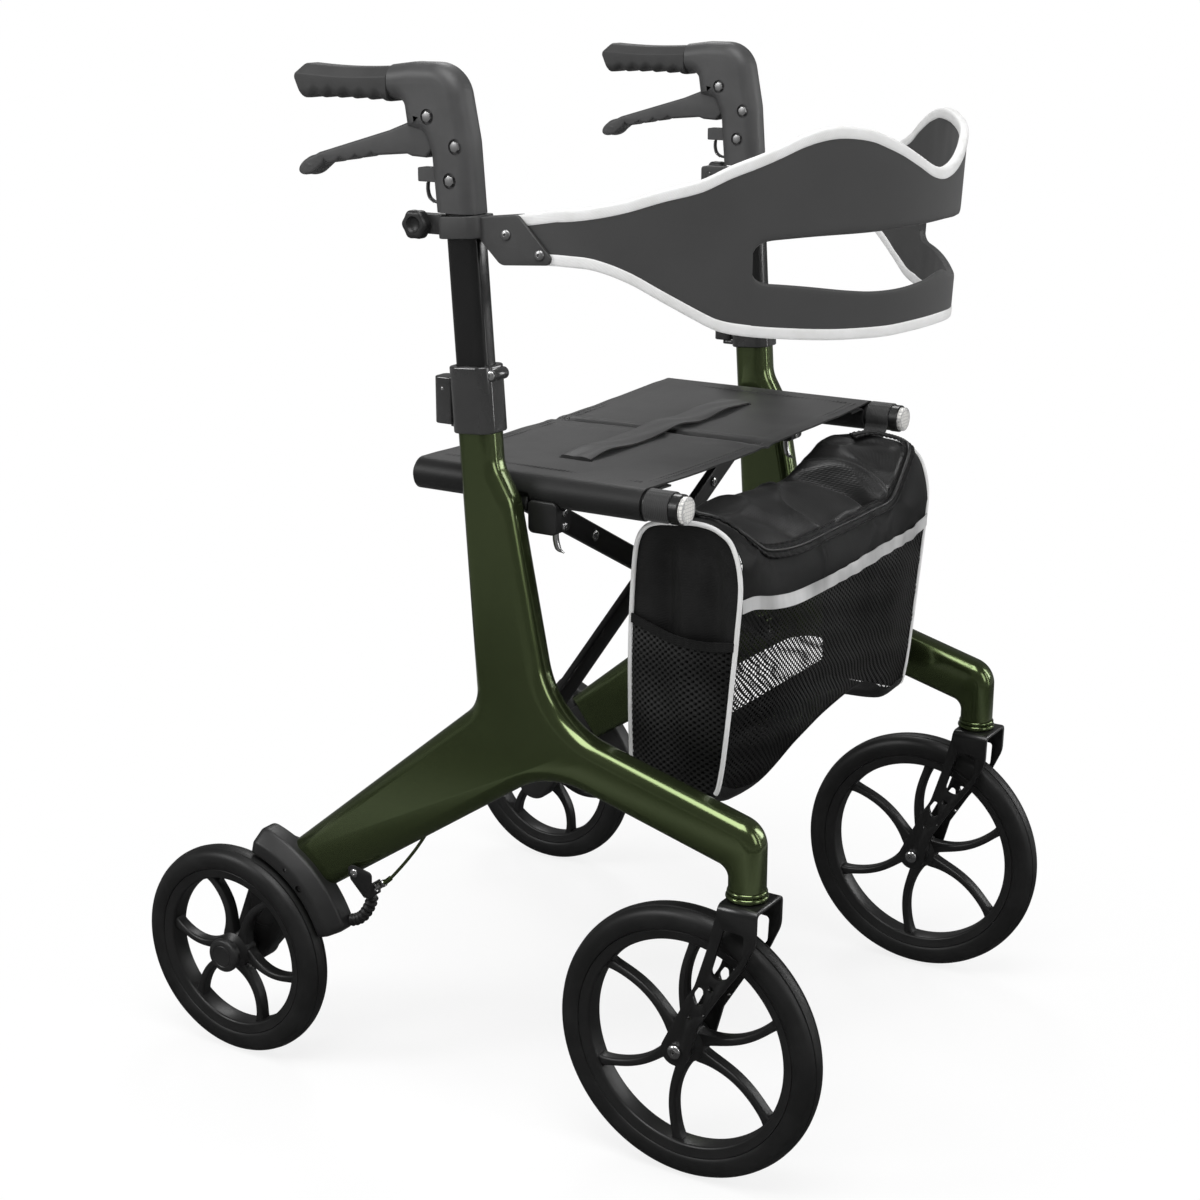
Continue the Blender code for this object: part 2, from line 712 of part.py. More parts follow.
def frame_outline():
    # Every corner is where two named lines cross; the numbers after them are fillet radii.
    half = POST_DEPTH / 2
    upright = math.pi / 2 - POST_LEAN
    rear_line = (post_y(POST_REFERENCE_Z) + half, POST_REFERENCE_Z)
    front_line = (post_y(POST_REFERENCE_Z) - half, POST_REFERENCE_Z)
    shoulder = (post_y(SHOULDER_BOTTOM_Z) - SHOULDER_REACH, SHOULDER_BOTTOM_Z)
    shoulder_angle = math.pi / 2 - POST_FRONT_LEAN
    stub_front = STEM_Y - STUB_RADIUS
    stub_back = STEM_Y + STUB_RADIUS
    leg_top = (stub_front, FRONT_LEG_TOP_Z)
    leg_under = (stub_front, FRONT_LEG_TOP_Z - FRONT_LEG_DEPTH)
    end_top = leg_end(0, REAR_LEG_END_DEPTH / 2)
    end_bottom = leg_end(0, -REAR_LEG_END_DEPTH / 2)
    rear_top_angle = -REAR_LEG_ANGLE - REAR_LEG_TAPER
    rear_under_angle = -REAR_LEG_ANGLE + REAR_LEG_TAPER
    valley = meet(shoulder, shoulder_angle, leg_top, FRONT_LEG_SLOPE)
    arch = meet(leg_under, FRONT_LEG_SLOPE, end_bottom, rear_under_angle)
    crotch = meet(rear_line, upright, end_top, rear_top_angle)
    rear_top = meet(rear_line, upright, (0, POST_TOP_Z), 0)
    front_top = meet(front_line, upright, (0, POST_TOP_Z), 0)
    shoulder_top = meet(front_line, upright, (0, SHOULDER_TOP_Z), 0)
    inner_heel = meet(leg_under, FRONT_LEG_SLOPE, (stub_back, 0), math.pi / 2)
    stub_end = STUB_BOTTOM_Z - FRAME_EDGE
    return [(*front_top, 0), (*shoulder_top, 0.030), (*shoulder, 0.030), (*valley, 0.080),
            (*leg_top, 0.025), (stub_front, stub_end, 0), (stub_back, stub_end, 0), (*inner_heel, 0.010),
            (*arch, 0.085), (*end_bottom, 0), (*end_top, 0), (*crotch, 0.030), (*rear_top, 0)]


def post_bore(side, width, depth, low, high, spare=0.0):
    # A rounded rectangular bore along the leaning post, between two heights.
    middle = on_post(side, (low + high) / 2)
    length = (high - low) / math.cos(POST_LEAN)
    return prism([box_outline(width + 2 * spare, depth + 2 * spare, 0.007)], length, middle, LEANING)


def make_side_frame(side):
    word = side_word(side)
    frame = prism([rounded(frame_outline(), 3)], FRAME_THICKNESS, (side * FRAME_X, 0, 0), UPRIGHT_YZ, FRAME_EDGE)
    cut(frame, block((0.06, 0.06, 2 * FRAME_EDGE), (side * FRAME_X, STEM_Y, STUB_BOTTOM_Z - FRAME_EDGE)))
    ear_y = bar_y(side)
    ear_shift = BAR_THICKNESS / 2 + SLIDE_CLEARANCE + EAR_THICKNESS / 2
    inner_face = FRAME_X - FRAME_THICKNESS / 2
    root = inner_face + 0.006
    for end in (RIGHT, LEFT):
        eye = arc((side * PIVOT_X, PIVOT_Z), EAR_RADIUS, math.pi / 2, math.pi / 2 + side * math.pi, 8)
        ear = eye + [(side * root, PIVOT_Z - EAR_RADIUS), (side * root, PIVOT_Z + EAR_RADIUS)]
        fuse(frame, prism([ear], EAR_THICKNESS, (0, ear_y + end * ear_shift, 0), UPRIGHT_XZ))
    pin_length = 2 * (ear_shift + EAR_THICKNESS / 2 + 0.002)
    fuse(frame, rod(PIN_RADIUS, pin_length, (side * PIVOT_X, ear_y, PIVOT_Z), ALONG_Y, 12))
    cut(frame, post_bore(side, INNER_POST_WIDTH, INNER_POST_DEPTH, POST_BORE_BOTTOM_Z, POST_TOP_Z + 0.02,
                         SLIDE_CLEARANCE))
    stem_top = STEM_TOP_Z + 0.003
    stem_low = STUB_BOTTOM_Z - 0.01
    cut(frame, rod(STEM_RADIUS + CLEARANCE, stem_top - stem_low,
                   (side * FRAME_X, STEM_Y, (stem_top + stem_low) / 2), sides=20))
    mortise = leg_end((TONGUE_LENGTH + 0.001) / 2 - 0.005)
    cut(frame, block((TONGUE_WIDTH + 2 * CLEARANCE, TONGUE_LENGTH + 0.011, REAR_LEG_END_DEPTH * 0.6 + 2 * CLEARANCE),
                     (side * FRAME_X, mortise.x, mortise.y), (-REAR_LEG_ANGLE, 0, 0)))
    inside = Vector(CABLE_ROUTE[0])
    mouth = Vector(CABLE_ROUTE[1])
    tilt = math.atan2(inside.x - mouth.x, inside.y - mouth.y)
    hole = rod(CABLE_RADIUS + 0.0012, 0.026, (side * FRAME_X, ahead(mouth.x), mouth.y), (tilt, 0, 0), 10)
    cut(frame, hole)
    keep(frame, word + '_side_frame', GREEN, word + '_side')


# Folding cross, seat rails and seat

def bar_outline(side):
    # The bar starts at this side's lower pivot and ends under the rail of the other side.
    reach = PIVOT_X / math.cos(CROSS_ANGLE)
    half = BAR_HEIGHT / 2
    eye = arc((-reach, 0), half, math.radians(90), math.radians(270), 6)
    tip = arc((reach + 0.004, -half + 0.006), 0.006, math.radians(-90), math.radians(0), 3)
    ring = eye + tip + [(reach + 0.010, half)]
    lean = CROSS_ANGLE
    return [(-side * (s * math.cos(lean) - t * math.sin(lean)),
             CROSS_Z + s * math.sin(lean) + t * math.cos(lean)) for s, t in ring]


def make_cross(side, name, body):
    y = bar_y(side)
    bar = prism([bar_outline(side)], BAR_THICKNESS, (0, y, 0), UPRIGHT_XZ, 0.0012)
    bore = PIN_RADIUS + CLEARANCE
    cut(bar, rod(bore, 0.03, (side * PIVOT_X, y, PIVOT_Z), ALONG_Y, 12))
    cut(bar, rod(bore, 0.03, (0, y, CROSS_Z), ALONG_Y, 12))
    cut(bar, rod(RAIL_RADIUS + CLEARANCE, 0.03, (-side * RAIL_X, y, RAIL_Z), ALONG_Y, 20))
    keep(bar, name, BLACK_METAL, body)


def make_centre_bolt():
    reach = BAR_SPACING / 2 + BAR_THICKNESS / 2 + CLEARANCE
    bolt = rod(PIN_RADIUS, 2 * reach, (0, ahead(CROSS_SETBACK), CROSS_Z), ALONG_Y, 12)
    for end in (RIGHT, LEFT):
        head = (0, ahead(CROSS_SETBACK) + end * (reach + 0.0017), CROSS_Z)
        fuse(bolt, rod(0.0078, 0.0036, head, ALONG_Y, 16))
    keep(bolt, 'centre_bolt', STEEL, 'front_cross')


def make_rail(side, body):
    word = side_word(side)
    length = RAIL_FRONT - RAIL_BACK
    r = RAIL_RADIUS
    profile = [(0, length), (r - 0.004, length), (r - 0.001, length - 0.0015), (r, length - 0.004), (r, 0.0085),
               (r + 0.001, 0.0078), (r + 0.001, 0), (0, 0)]
    centre = (side * RAIL_X, ahead(RAIL_FRONT), RAIL_Z)
    keep(turned(profile, centre, ALONG_Y, 20), word + '_seat_rail', BLACK_METAL, body)
    r = REFLECTOR_RADIUS
    deep = -REFLECTOR_DEPTH
    disc = [(0, -CLEARANCE), (r, -CLEARANCE), (r, deep + 0.0010), (r - 0.0015, deep), (0, deep)]
    keep(turned(disc, centre, ALONG_Y, 20), word + '_rail_reflector', REFLECTOR, body)


def sag(x):
    # Height of the top of the seat cloth between the rails.
    span = min(abs(x) / RAIL_X, 1.0)
    crown = RAIL_Z + RAIL_RADIUS + CLEARANCE + SLEEVE_WALL
    return crown - SEAT_SAG * (1 - span ** 2)


def make_seat():
    inner = RAIL_RADIUS + CLEARANCE
    outer = inner + SLEEVE_WALL
    steps = 13
    xs = [RAIL_X * (1 - 2 * i / steps) for i in range(steps + 1)]
    top = [(x, sag(x)) for x in xs]
    left = arc((-RAIL_X, RAIL_Z), outer, math.radians(90), math.radians(392), 15)[1:]
    right = arc((RAIL_X, RAIL_Z), outer, math.radians(148), math.radians(450), 15)[:-1]
    under_reach = RAIL_X - outer * math.cos(math.radians(32)) - 0.004
    under = [(-under_reach + 2 * under_reach * i / (steps - 2), 0) for i in range(steps - 1)]
    under = [(x, sag(x) - PANEL_THICKNESS) for x, _ in under]
    holes = [circle((side * RAIL_X, RAIL_Z), inner, 20) for side in (RIGHT, LEFT)]
    middle = ahead((SEAT_BACK + SEAT_FRONT) / 2)
    seat = prism([top + left + under + right, *holes], SEAT_FRONT - SEAT_BACK, (0, middle, 0), UPRIGHT_XZ)
    notch = BAR_SPACING + BAR_THICKNESS + 0.004
    for side in (RIGHT, LEFT):
        cut(seat, block((0.040, notch, 0.024), (side * RAIL_X, ahead(CROSS_SETBACK), RAIL_Z - 0.0125)))
        slot = block((STRAP_THICKNESS + 0.0034, STRAP_WIDTH + 0.004, 0.03),
                     (side * STRAP_SLOT_X, ahead(CROSS_SETBACK + 0.007), RAIL_Z))
        cut(seat, slot)
    keep(seat, 'seat', SEAT_CLOTH, 'front_cross')


def make_pull_strap():
    steps = 10
    reach = STRAP_SLOT_X - STRAP_THICKNESS / 2
    xs = [reach * (1 - 2 * i / steps) for i in range(steps + 1)]
    low = sag(reach) - STRAP_TAIL
    lift = 0.0005
    upper = [(x, sag(x) + lift + STRAP_THICKNESS) for x in xs]
    lower = [(x * (1 - STRAP_THICKNESS / reach), sag(x) + lift) for x in xs][::-1]
    tail = STRAP_THICKNESS
    ring = [(reach, low), *upper, (-reach, low), (-reach + tail, low), *lower, (reach - tail, low)]
    strap = prism([ring[::-1]], STRAP_WIDTH, (0, ahead(CROSS_SETBACK + 0.007), 0), UPRIGHT_XZ)
    keep(strap, 'pull_strap', SEAT_CLOTH, 'front_cross')


# Bag

def bag_profile():
    # Side view of the bag: flat back, rounded foot, nearly level top, front leaning out.
    back, front = ahead(BAG_BACK), ahead(BAG_FRONT)
    return rounded([(front + 0.012, BAG_BOTTOM_Z, 0.022), (back, BAG_BOTTOM_Z, 0.018),
                    (back, BAG_SHOULDER_Z + 0.022, 0.012), ((back + front) / 2 - 0.010, BAG_TOP_Z, 0.050),
                    (front - 0.002, BAG_SHOULDER_Z + 0.014, 0.020), (front - 0.006, BAG_SHOULDER_Z - 0.020, 0.040)], 3)


def make_bag():
    bag = prism([bag_profile()], 2 * BAG_HALF_WIDTH, (0, 0, 0), UPRIGHT_YZ, 0.010)
    middle = ahead((HANGER_FRONT + HANGER_BACK) / 2)
    width = HANGER_FRONT - HANGER_BACK
    inner = RAIL_RADIUS + CLEARANCE
    outer = inner + HANGER_WALL
    foot = 0.506
    for side in (RIGHT, LEFT):
        loop = arc((side * RAIL_X, RAIL_Z), outer, math.pi / 2 - side * math.radians(100),
                   math.pi / 2 + side * math.radians(130), 12)
        strap = [(side * (BAG_HALF_WIDTH - 0.012), foot + 0.020), (side * (BAG_HALF_WIDTH - 0.012), foot),
                 (side * (BAG_HALF_WIDTH + 0.006), foot)]
        hanger = prism([loop + strap, circle((side * RAIL_X, RAIL_Z), inner, 20)], width, (0, middle, 0), UPRIGHT_XZ)
        fuse(bag, hanger)
    keep(bag, 'bag', BAG_CLOTH, 'bag_hanger')


# Telescoping handles

def make_inner_post(side):
    word = side_word(side)
    post = post_bore(side, INNER_POST_WIDTH, INNER_POST_DEPTH, INNER_POST_BOTTOM_Z, INNER_POST_TOP_Z)
    keep(post, word + '_inner_post', BLACK_GLOSS, word + '_handle')


def make_height_clamp(side):
    word = side_word(side)
    middle = (CLAMP_BOTTOM_Z + CLAMP_TOP_Z) / 2
    length = CLAMP_TOP_Z - CLAMP_BOTTOM_Z
    collar = prism([box_outline(COLLAR_WIDTH, COLLAR_DEPTH, 0.011)], length, on_post(side, middle), LEANING)
    hinge = paddle_hinge(side)
    for end in (RIGHT, LEFT):
        ear_z = hinge.z + end * (PADDLE_HEIGHT / 2 + 0.0020)
        ear = arc((hinge.x, hinge.y), 0.0040, math.radians(0), math.radians(180), 8)
        ear += [(hinge.x - 0.0040, hinge.y - 0.0095), (hinge.x + 0.0040, hinge.y - 0.0095)]
        fuse(collar, prism([ear], 0.0032, (0, 0, ear_z), ALONG_Z))
    fuse(collar, rod(0.0016, PADDLE_HEIGHT + 0.004, hinge, sides=12))
    screw = on_post(side, CLAMP_TOP_Z - 0.006) + Vector((0, -COLLAR_DEPTH / 2 - 0.0005, 0))
    fuse(collar, rod(0.0052, 0.020, screw, ALONG_X, 12))
    cut(collar, post_bore(side, FRAME_THICKNESS, POST_DEPTH, CLAMP_BOTTOM_Z - 0.01, POST_TOP_Z + 0.002, CLEARANCE))
    cut(collar, post_bore(side, INNER_POST_WIDTH, INNER_POST_DEPTH, POST_TOP_Z - 0.01, CLAMP_TOP_Z + 0.01,
                          SLIDE_CLEARANCE))
    keep(collar, word + '_height_clamp', BLACK_GLOSS, word + '_side')

    # The clamp's lever turns outwards about an upright pin on its inboard edge.
    inboard = -0.0048
    far = PADDLE_WIDTH - 0.0048
    back = PADDLE_DEPTH - 0.0048
    corners = [(inboard, inboard, 0.0047), (far, inboard, 0.002), (far, back, 0.004), (inboard, back, 0.004)]
    outline = [(hinge.x + side * u, hinge.y + v) for u, v in rounded(corners, 4)]
    lever = prism([outline, circle((hinge.x, hinge.y), 0.0020, 12)], PADDLE_HEIGHT, (0, 0, hinge.z), ALONG_Z)
    keep(lever, word + '_clamp_lever', BLACK_GLOSS, word + '_paddle')


def handle_line(corners, steps=3):
    # Corners are (behind the post's line, down from the top, fillet radius).
    return rounded([(*at_handle(behind, drop), radius) for behind, drop, radius in corners], steps)


def handle_outline():
    # Runs past the flat cuts at the foot and at the grip, so that only those two rims stay sharp.
    foot = HANDLE_HEIGHT + HANDLE_EDGE
    neck = GRIP_START + HANDLE_EDGE
    return handle_line([(-0.0262, foot, 0), (0.0139, foot, 0), (0.0192, 0.0712, 0.020), (0.0262, 0.0560, 0.005),
                        (0.0427, 0.0530, 0.005), (0.0462, GRIP_BOTTOM, 0.007), (neck, GRIP_BOTTOM, 0),
                        (neck, GRIP_TOP, 0), (0.0362, 0, 0.030), (-0.0088, 0, 0.026), (-0.0208, 0.0612, 0.060)])


def grip_outline():
    start = GRIP_START - GRIP_EDGE
    return handle_line([(start, GRIP_BOTTOM, 0), (0.0662, 0.0287, 0.02), (0.0872, 0.0312, 0.02),
                        (0.1262, 0.0300, 0.02), (0.1452, 0.0332, 0.008), (GRIP_END, 0.0137, 0.009),
                        (GRIP_END - 0.0100, 0.0050, 0.008), (start, GRIP_TOP, 0)])


def lever_outline():
    pivot = at_handle(*LEVER_PIVOT)
    bulb = at_handle(0.1452, 0.0872)
    boss = arc(pivot, 0.0100, math.radians(215), math.radians(10), 8)
    top = [at_handle(0.0407, 0.0477), at_handle(0.0612, 0.0552), at_handle(0.1349, 0.0762)]
    ball = arc(bulb, BULB_RADIUS, math.radians(75), math.radians(-130), 8)
    under = [at_handle(0.1318, 0.0857), at_handle(0.1121, 0.0814), at_handle(0.0804, 0.0779), at_handle(0.0722, 0.0746),
             at_handle(0.0434, 0.0735), at_handle(0.0241, 0.0753), at_handle(0.0172, 0.0692)]
    return boss + top + ball + under


def lever_slot():
    return [at_handle(0.0034, 0.0612), at_handle(0.0119, 0.0674), at_handle(0.0126, 0.0827), at_handle(0.0562, 0.0827),
            at_handle(0.0562, 0.0332), at_handle(0.0092, 0.0307), at_handle(0.0034, 0.0352)]


def make_housing(side):
    plane = (side * FRAME_X, 0, 0)
    housing = prism([handle_outline()], HANDLE_THICKNESS, plane, UPRIGHT_YZ, HANDLE_EDGE)
    foot_y, foot_z = at_handle(0, HANDLE_HEIGHT + 0.02)
    neck_y, neck_z = at_handle(GRIP_START - CLEARANCE + 0.02, GRIP_CENTRE)
    cut(housing, block((0.05, 0.08, 0.04), (side * FRAME_X, foot_y, foot_z)),
        block((0.05, 0.04, 0.05), (side * FRAME_X, neck_y, neck_z)))
    stop = block(STOP_SIZE, (side * FRAME_X, *at_handle(*STOP_PLACE)))
    fuse(housing, grip_core(side, GRIP_CORE_RADIUS, GRIP_START - 0.006, GRIP_END - 0.008), stop)
    cut(housing, post_bore(side, INNER_POST_WIDTH, INNER_POST_DEPTH, HANDLE_BOTTOM_Z - 0.01,
                           INNER_POST_TOP_Z + 0.001, CLEARANCE))
    cut(housing, prism([lever_slot()], LEVER_SLOT, plane, UPRIGHT_YZ))
    cut(housing, rod(2 * CABLE_RADIUS, 0.006, (side * FRAME_X, *at_handle(*CABLE_HOLE)), ALONG_Y, 12))
    fuse(housing, rod(LEVER_PIN_RADIUS, LEVER_SLOT + 0.002, lever_pivot(side), ALONG_X, 12))
    return housing


def grip_core(side, radius, start, end):
    # A rod along the grip between two distances behind the post's line.
    y, z = at_handle((start + end) / 2, GRIP_CENTRE)
    return rod(radius, end - start, (side * FRAME_X, y, z), ALONG_Y)


def make_handle(side):
    word = side_word(side)
    body = word + '_handle'
    plane = (side * FRAME_X, 0, 0)
    keep(make_housing(side), word + '_handle_housing', GREY_PLASTIC, body)

    grip = prism([grip_outline()], GRIP_WIDTH, plane, UPRIGHT_YZ, GRIP_EDGE)
    front_y, front_z = at_handle(GRIP_START - 0.02, GRIP_CENTRE)
    cut(grip, block((0.05, 0.04, 0.05), (side * FRAME_X, front_y, front_z)),
        grip_core(side, GRIP_CORE_RADIUS + CLEARANCE, GRIP_START - 0.01, GRIP_END - 0.008 + 2 * CLEARANCE))
    keep(grip, word + '_grip', GREY_PLASTIC, body)

    lever = prism([lever_outline()], LEVER_THICKNESS, plane, UPRIGHT_YZ, 0.0025)
    cut(lever, rod(LEVER_PIN_RADIUS + CLEARANCE, 0.04, lever_pivot(side), ALONG_X, 12))
    keep(lever, word + '_brake_lever', GREY_PLASTIC, word + '_lever')

    route = [(side * FRAME_X, *at_handle(behind, drop)) for behind, drop in UPPER_CABLE]
    keep(tube(route, CABLE_RADIUS), word + '_upper_cable', BLACK_PLASTIC, body)


# Backrest

def make_bracket(side):
    word = side_word(side)
    body = word + '_handle'
    height = BRACKET_HEIGHT
    bracket = prism([box_outline(COLLAR_WIDTH, COLLAR_DEPTH, 0.010)], height, on_post(side, BRACKET_Z), LEANING)
    corners = [(0.0187, 0, 0), (0.0557, -0.0040, 0.006), (0.0927, 0.0340, 0.005), (0.0387, 0.0375, 0.006),
               (0.0187, height, 0)]
    plate = rounded([(*at_bracket(forward, drop), radius) for forward, drop, radius in corners], 4)
    shift = BAND_THICKNESS / 2 + CLEARANCE + PLATE_THICKNESS / 2
    for end in (RIGHT, LEFT):
        fuse(bracket, prism([plate], PLATE_THICKNESS, (side * BAND_X + end * shift, 0, 0), UPRIGHT_YZ))
        ear = block((0.0048, 0.034, height - 0.002), (side * FRAME_X + end * 0.0036, *at_bracket(-0.0333, height / 2)))
        fuse(bracket, ear)
    web = block((2 * shift, 0.0175, height - 0.001), (side * BAND_X, *at_bracket(0.0280, height / 2)))
    fuse(bracket, web)
    cut(bracket, block((0.0024, 0.05, 0.05), (side * FRAME_X, *at_bracket(-0.0378, height / 2))))
    cut(bracket, post_bore(side, INNER_POST_WIDTH, INNER_POST_DEPTH, BRACKET_BOTTOM_Z - 0.01, BRACKET_TOP_Z + 0.01,
                           CLEARANCE))
    axis = knob_axis(side)
    cut(bracket, rod(0.0028, 0.03, (side * FRAME_X, axis.y, axis.z), ALONG_X, 12))
    keep(bracket, word + '_backrest_bracket', BLACK_PLASTIC, body)

    start = FRAME_X + 0.0065
    lobes = [(axis.y + (KNOB_RADIUS - 0.0009 + 0.0009 * math.cos(6 * turn)) * math.cos(turn),
              axis.z + (KNOB_RADIUS - 0.0009 + 0.0009 * math.cos(6 * turn)) * math.sin(turn))
             for turn in [2 * math.pi * i / 24 for i in range(24)]]
    knob = prism([lobes], KNOB_DEPTH, (side * (start + KNOB_DEPTH / 2), 0, 0), UPRIGHT_YZ)
    dimple = Vector((side * (start + KNOB_DEPTH), axis.y, axis.z))
    cut(knob, rod(0.0050, 0.004, dimple, ALONG_X, 12))
    stem = 0.0150
    fuse(knob, rod(0.0025, stem, (side * (start + 0.002 - stem / 2), axis.y, axis.z), ALONG_X, 12))
    keep(knob, word + '_backrest_knob', BLACK_PLASTIC, word + '_knob')


def band_top(x):
    x = abs(x)
    crest = 0.125
    if x < crest:
        return BRACKET_TOP_Z + 0.0350 + 0.0357 * (1 - math.cos(math.pi * (x / crest) ** 0.8)) / 2
    return BRACKET_TOP_Z + 0.0707 - 0.0622 * ((x - crest) / (BAND_X - crest)) ** 1.3


def band_bottom(x):
    # Lowest beside the middle, where it rises a little, and swept up to the arms.
    x = abs(x)
    bend, rise = 0.170, 0.055
    if x < bend:
        return BRACKET_TOP_Z - 0.0980 + 0.0080 * (x / bend) ** 3 + 0.0100 * max(1 - x / rise, 0) ** 2
    share = (x - bend) / (BAND_X - bend)
    return BRACKET_TOP_Z - 0.0900 + 0.0555 * (1 - math.cos(math.pi * share ** 1.3)) / 2


def band_rows(x):
    # Heights of the band's rows of points: lower strip, slot, upper strip.
    low, high = band_bottom(x), band_top(x)
    slot_low, slot_high, slot_middle = (BRACKET_TOP_Z - drop for drop in (0.0560, 0.0130, 0.0320))
    bend = BAND_SLOT_X - 0.016
    reach = max(abs(x) - bend, 0) / (BAND_SLOT_X - bend)
    if reach < 1:
        squeeze = max(math.sqrt(1 - reach ** 2), 0.18)
    else:
        squeeze = 0.18
    slot_low = slot_middle + (slot_low - slot_middle) * squeeze
    slot_high = slot_middle + (slot_high - slot_middle) * squeeze
    if reach > 1:
        settle = min((abs(x) - BAND_SLOT_X) / (BAND_X - BAND_SLOT_X), 1)
        slot_low += (low + (high - low) * 0.40 - slot_low) * settle
        slot_high += (low + (high - low) * 0.62 - slot_high) * settle
    lower = [low + (slot_low - low) * share / (LOWER_ROWS - 1) for share in range(LOWER_ROWS)]
    upper = [slot_high + (high - slot_high) * share for share in (0, 0.34, 0.67, 1)]
    return lower + upper


def band_column(place_at):
    # Half the columns on either side of the middle; the last two run straight back to the handles.
    side = 1 if place_at > 0 else -1
    count = abs(place_at)
    if count > BAND_COLUMNS:
        share = (count - BAND_COLUMNS) / 2
        drop = 0.0080 * share
        rows = band_rows(BAND_X)
        y = post_y(BRACKET_Z) - BAND_ARM_START - (BAND_ARM_END - BAND_ARM_START) * share
        return side * BAND_X, y, [z - drop * (z - rows[0]) / (rows[-1] - rows[0]) for z in rows]
    turn = math.pi / 2 * count / BAND_COLUMNS
    x = BAND_X * math.sin(turn) ** (2 / BAND_POWER)
    y = post_y(BRACKET_Z) - BAND_ARM_START - BAND_REACH * max(math.cos(turn), 0) ** (2 / BAND_POWER)
    return side * x, y, band_rows(x)


def make_band():
    shape = bmesh.new()
    last = BAND_COLUMNS + 2
    rows = len(band_rows(0)) - 1
    bmesh.ops.create_grid(shape, x_segments=2 * last, y_segments=rows, size=1.0)
    row_of = {}
    for vert in shape.verts:
        column = round(vert.co.x * last)
        row_of[vert] = round((vert.co.y + 1) / 2 * rows)
        x, y, heights = band_column(column)
        vert.co = (x, y, heights[row_of[vert]])
    window = []
    for face in shape.faces:
        ends = max(abs(vert.co.x) for vert in face.verts)
        if ends < BAND_SLOT_X and {row_of[vert] for vert in face.verts} == {LOWER_ROWS - 1, LOWER_ROWS}:
            window.append(face)
    bmesh.ops.delete(shape, geom=window, context='FACES')
    band = from_bmesh(shape)
    wall = band.modifiers.new('wall', 'SOLIDIFY')
    wall.thickness = BAND_THICKNESS
    wall.offset = 0
    wall.use_even_offset = True
    keep(band, 'backrest_band', BAND_CLOTH, 'right_handle')


# Rear brakes

def sector(inner, outer, start, end, near, far, side, edge=0.0):
    # A ring sector about the rear axle between two distances from the middle of the walker.
    steps = max(2, round(math.degrees(end - start) / 8))
    ring = [around_rear_axle(outer, start + (end - start) * i / steps) for i in range(steps + 1)]
    ring += [around_rear_axle(inner, end + (start - end) * i / steps) for i in range(steps + 1)]
    return prism([ring], far - near, (side * (near + far) / 2, 0, 0), UPRIGHT_YZ, edge)


def make_brake_bracket(side):
    word = side_word(side)
    hood = sector(HOOD_INNER, HOOD_OUTER, HOOD_START, HOOD_END, HOOD_WHEEL_SIDE_X, HOOD_FACE_X, side, 0.003)
    low_link = sector(HOOD_INNER + 0.001, HOOD_OUTER - 0.001, HOOD_START + 0.01, math.radians(33),
                      HOOD_INSIDE_X, HOOD_WHEEL_SIDE_X + 0.004, side)
    high_link = sector(HOOD_INNER - 0.004, HOOD_OUTER - 0.001, math.radians(66), HOOD_END - 0.01,
                       HOOD_INSIDE_X, HOOD_WHEEL_SIDE_X + 0.0008, side)
    axle = (REAR_AXLE_Y, REAR_RADIUS)
    top = leg_end(-0.0006, REAR_LEG_END_DEPTH / 2)
    bottom = leg_end(-0.0006, -REAR_LEG_END_DEPTH / 2)
    foot = arc(axle, 0.0210, math.radians(200), math.radians(385), 10)
    flank = around_rear_axle(0.1180, math.radians(76))
    outline = [tuple(top), tuple(bottom)] + foot + [around_rear_axle(0.0900, math.radians(82)), flank]
    thickness = BRACKET_OUTER_X - BRACKET_INNER_X
    middle = side * (BRACKET_OUTER_X + BRACKET_INNER_X) / 2
    plate = prism([outline], thickness, (middle, 0, 0), UPRIGHT_YZ)
    tongue = leg_end(TONGUE_LENGTH / 2 - 0.006)
    fuse(plate, hood, low_link, high_link)
    fuse(plate, block((TONGUE_WIDTH, TONGUE_LENGTH + 0.011, REAR_LEG_END_DEPTH * 0.6),
                      (side * FRAME_X, tongue.x, tongue.y), (-REAR_LEG_ANGLE, 0, 0)))
    pocket = sector(0.0990, HOOD_POCKET_RADIUS, SHOE_START - 0.06, SHOE_PIVOT_ANGLE + 0.07,
                    shoe_x() - SHOE_WIDTH / 2 - 0.0008, shoe_x() + SHOE_WIDTH / 2 + 0.0012, side)
    cut(plate, pocket)
    y, z = around_rear_axle(0.1127, math.radians(45))
    cut(plate, rod(0.0026, 0.006, (side * HOOD_FACE_X, y, z), ALONG_X, 12))
    fuse(plate, rod(SHOE_PIN_RADIUS, SHOE_WIDTH + 0.004, shoe_pivot(side), ALONG_X, 12))
    axle_end = REAR_WHEEL_X + REAR_HUB_WIDTH / 2 - CLEARANCE
    axle_middle = side * (axle_end + HOOD_INSIDE_X) / 2
    fuse(plate, rod(AXLE_RADIUS, axle_end - HOOD_INSIDE_X, (axle_middle, REAR_AXLE_Y, REAR_RADIUS), ALONG_X, 12))
    keep(plate, word + '_brake_bracket', BLACK_PLASTIC, word + '_side')

    inner = REAR_RADIUS + SHOE_GAP
    near, far = shoe_x() - SHOE_WIDTH / 2, shoe_x() + SHOE_WIDTH / 2
    shoe = sector(inner, inner + SHOE_DEPTH, SHOE_START, SHOE_PIVOT_ANGLE, near, far, side)
    fuse(shoe, rod(SHOE_DEPTH / 2, SHOE_WIDTH, shoe_pivot(side), ALONG_X, 16))
    cut(shoe, rod(SHOE_PIN_RADIUS + CLEARANCE, 0.03, shoe_pivot(side), ALONG_X, 12))
    keep(shoe, word + '_brake_shoe', RUBBER, word + '_shoe')


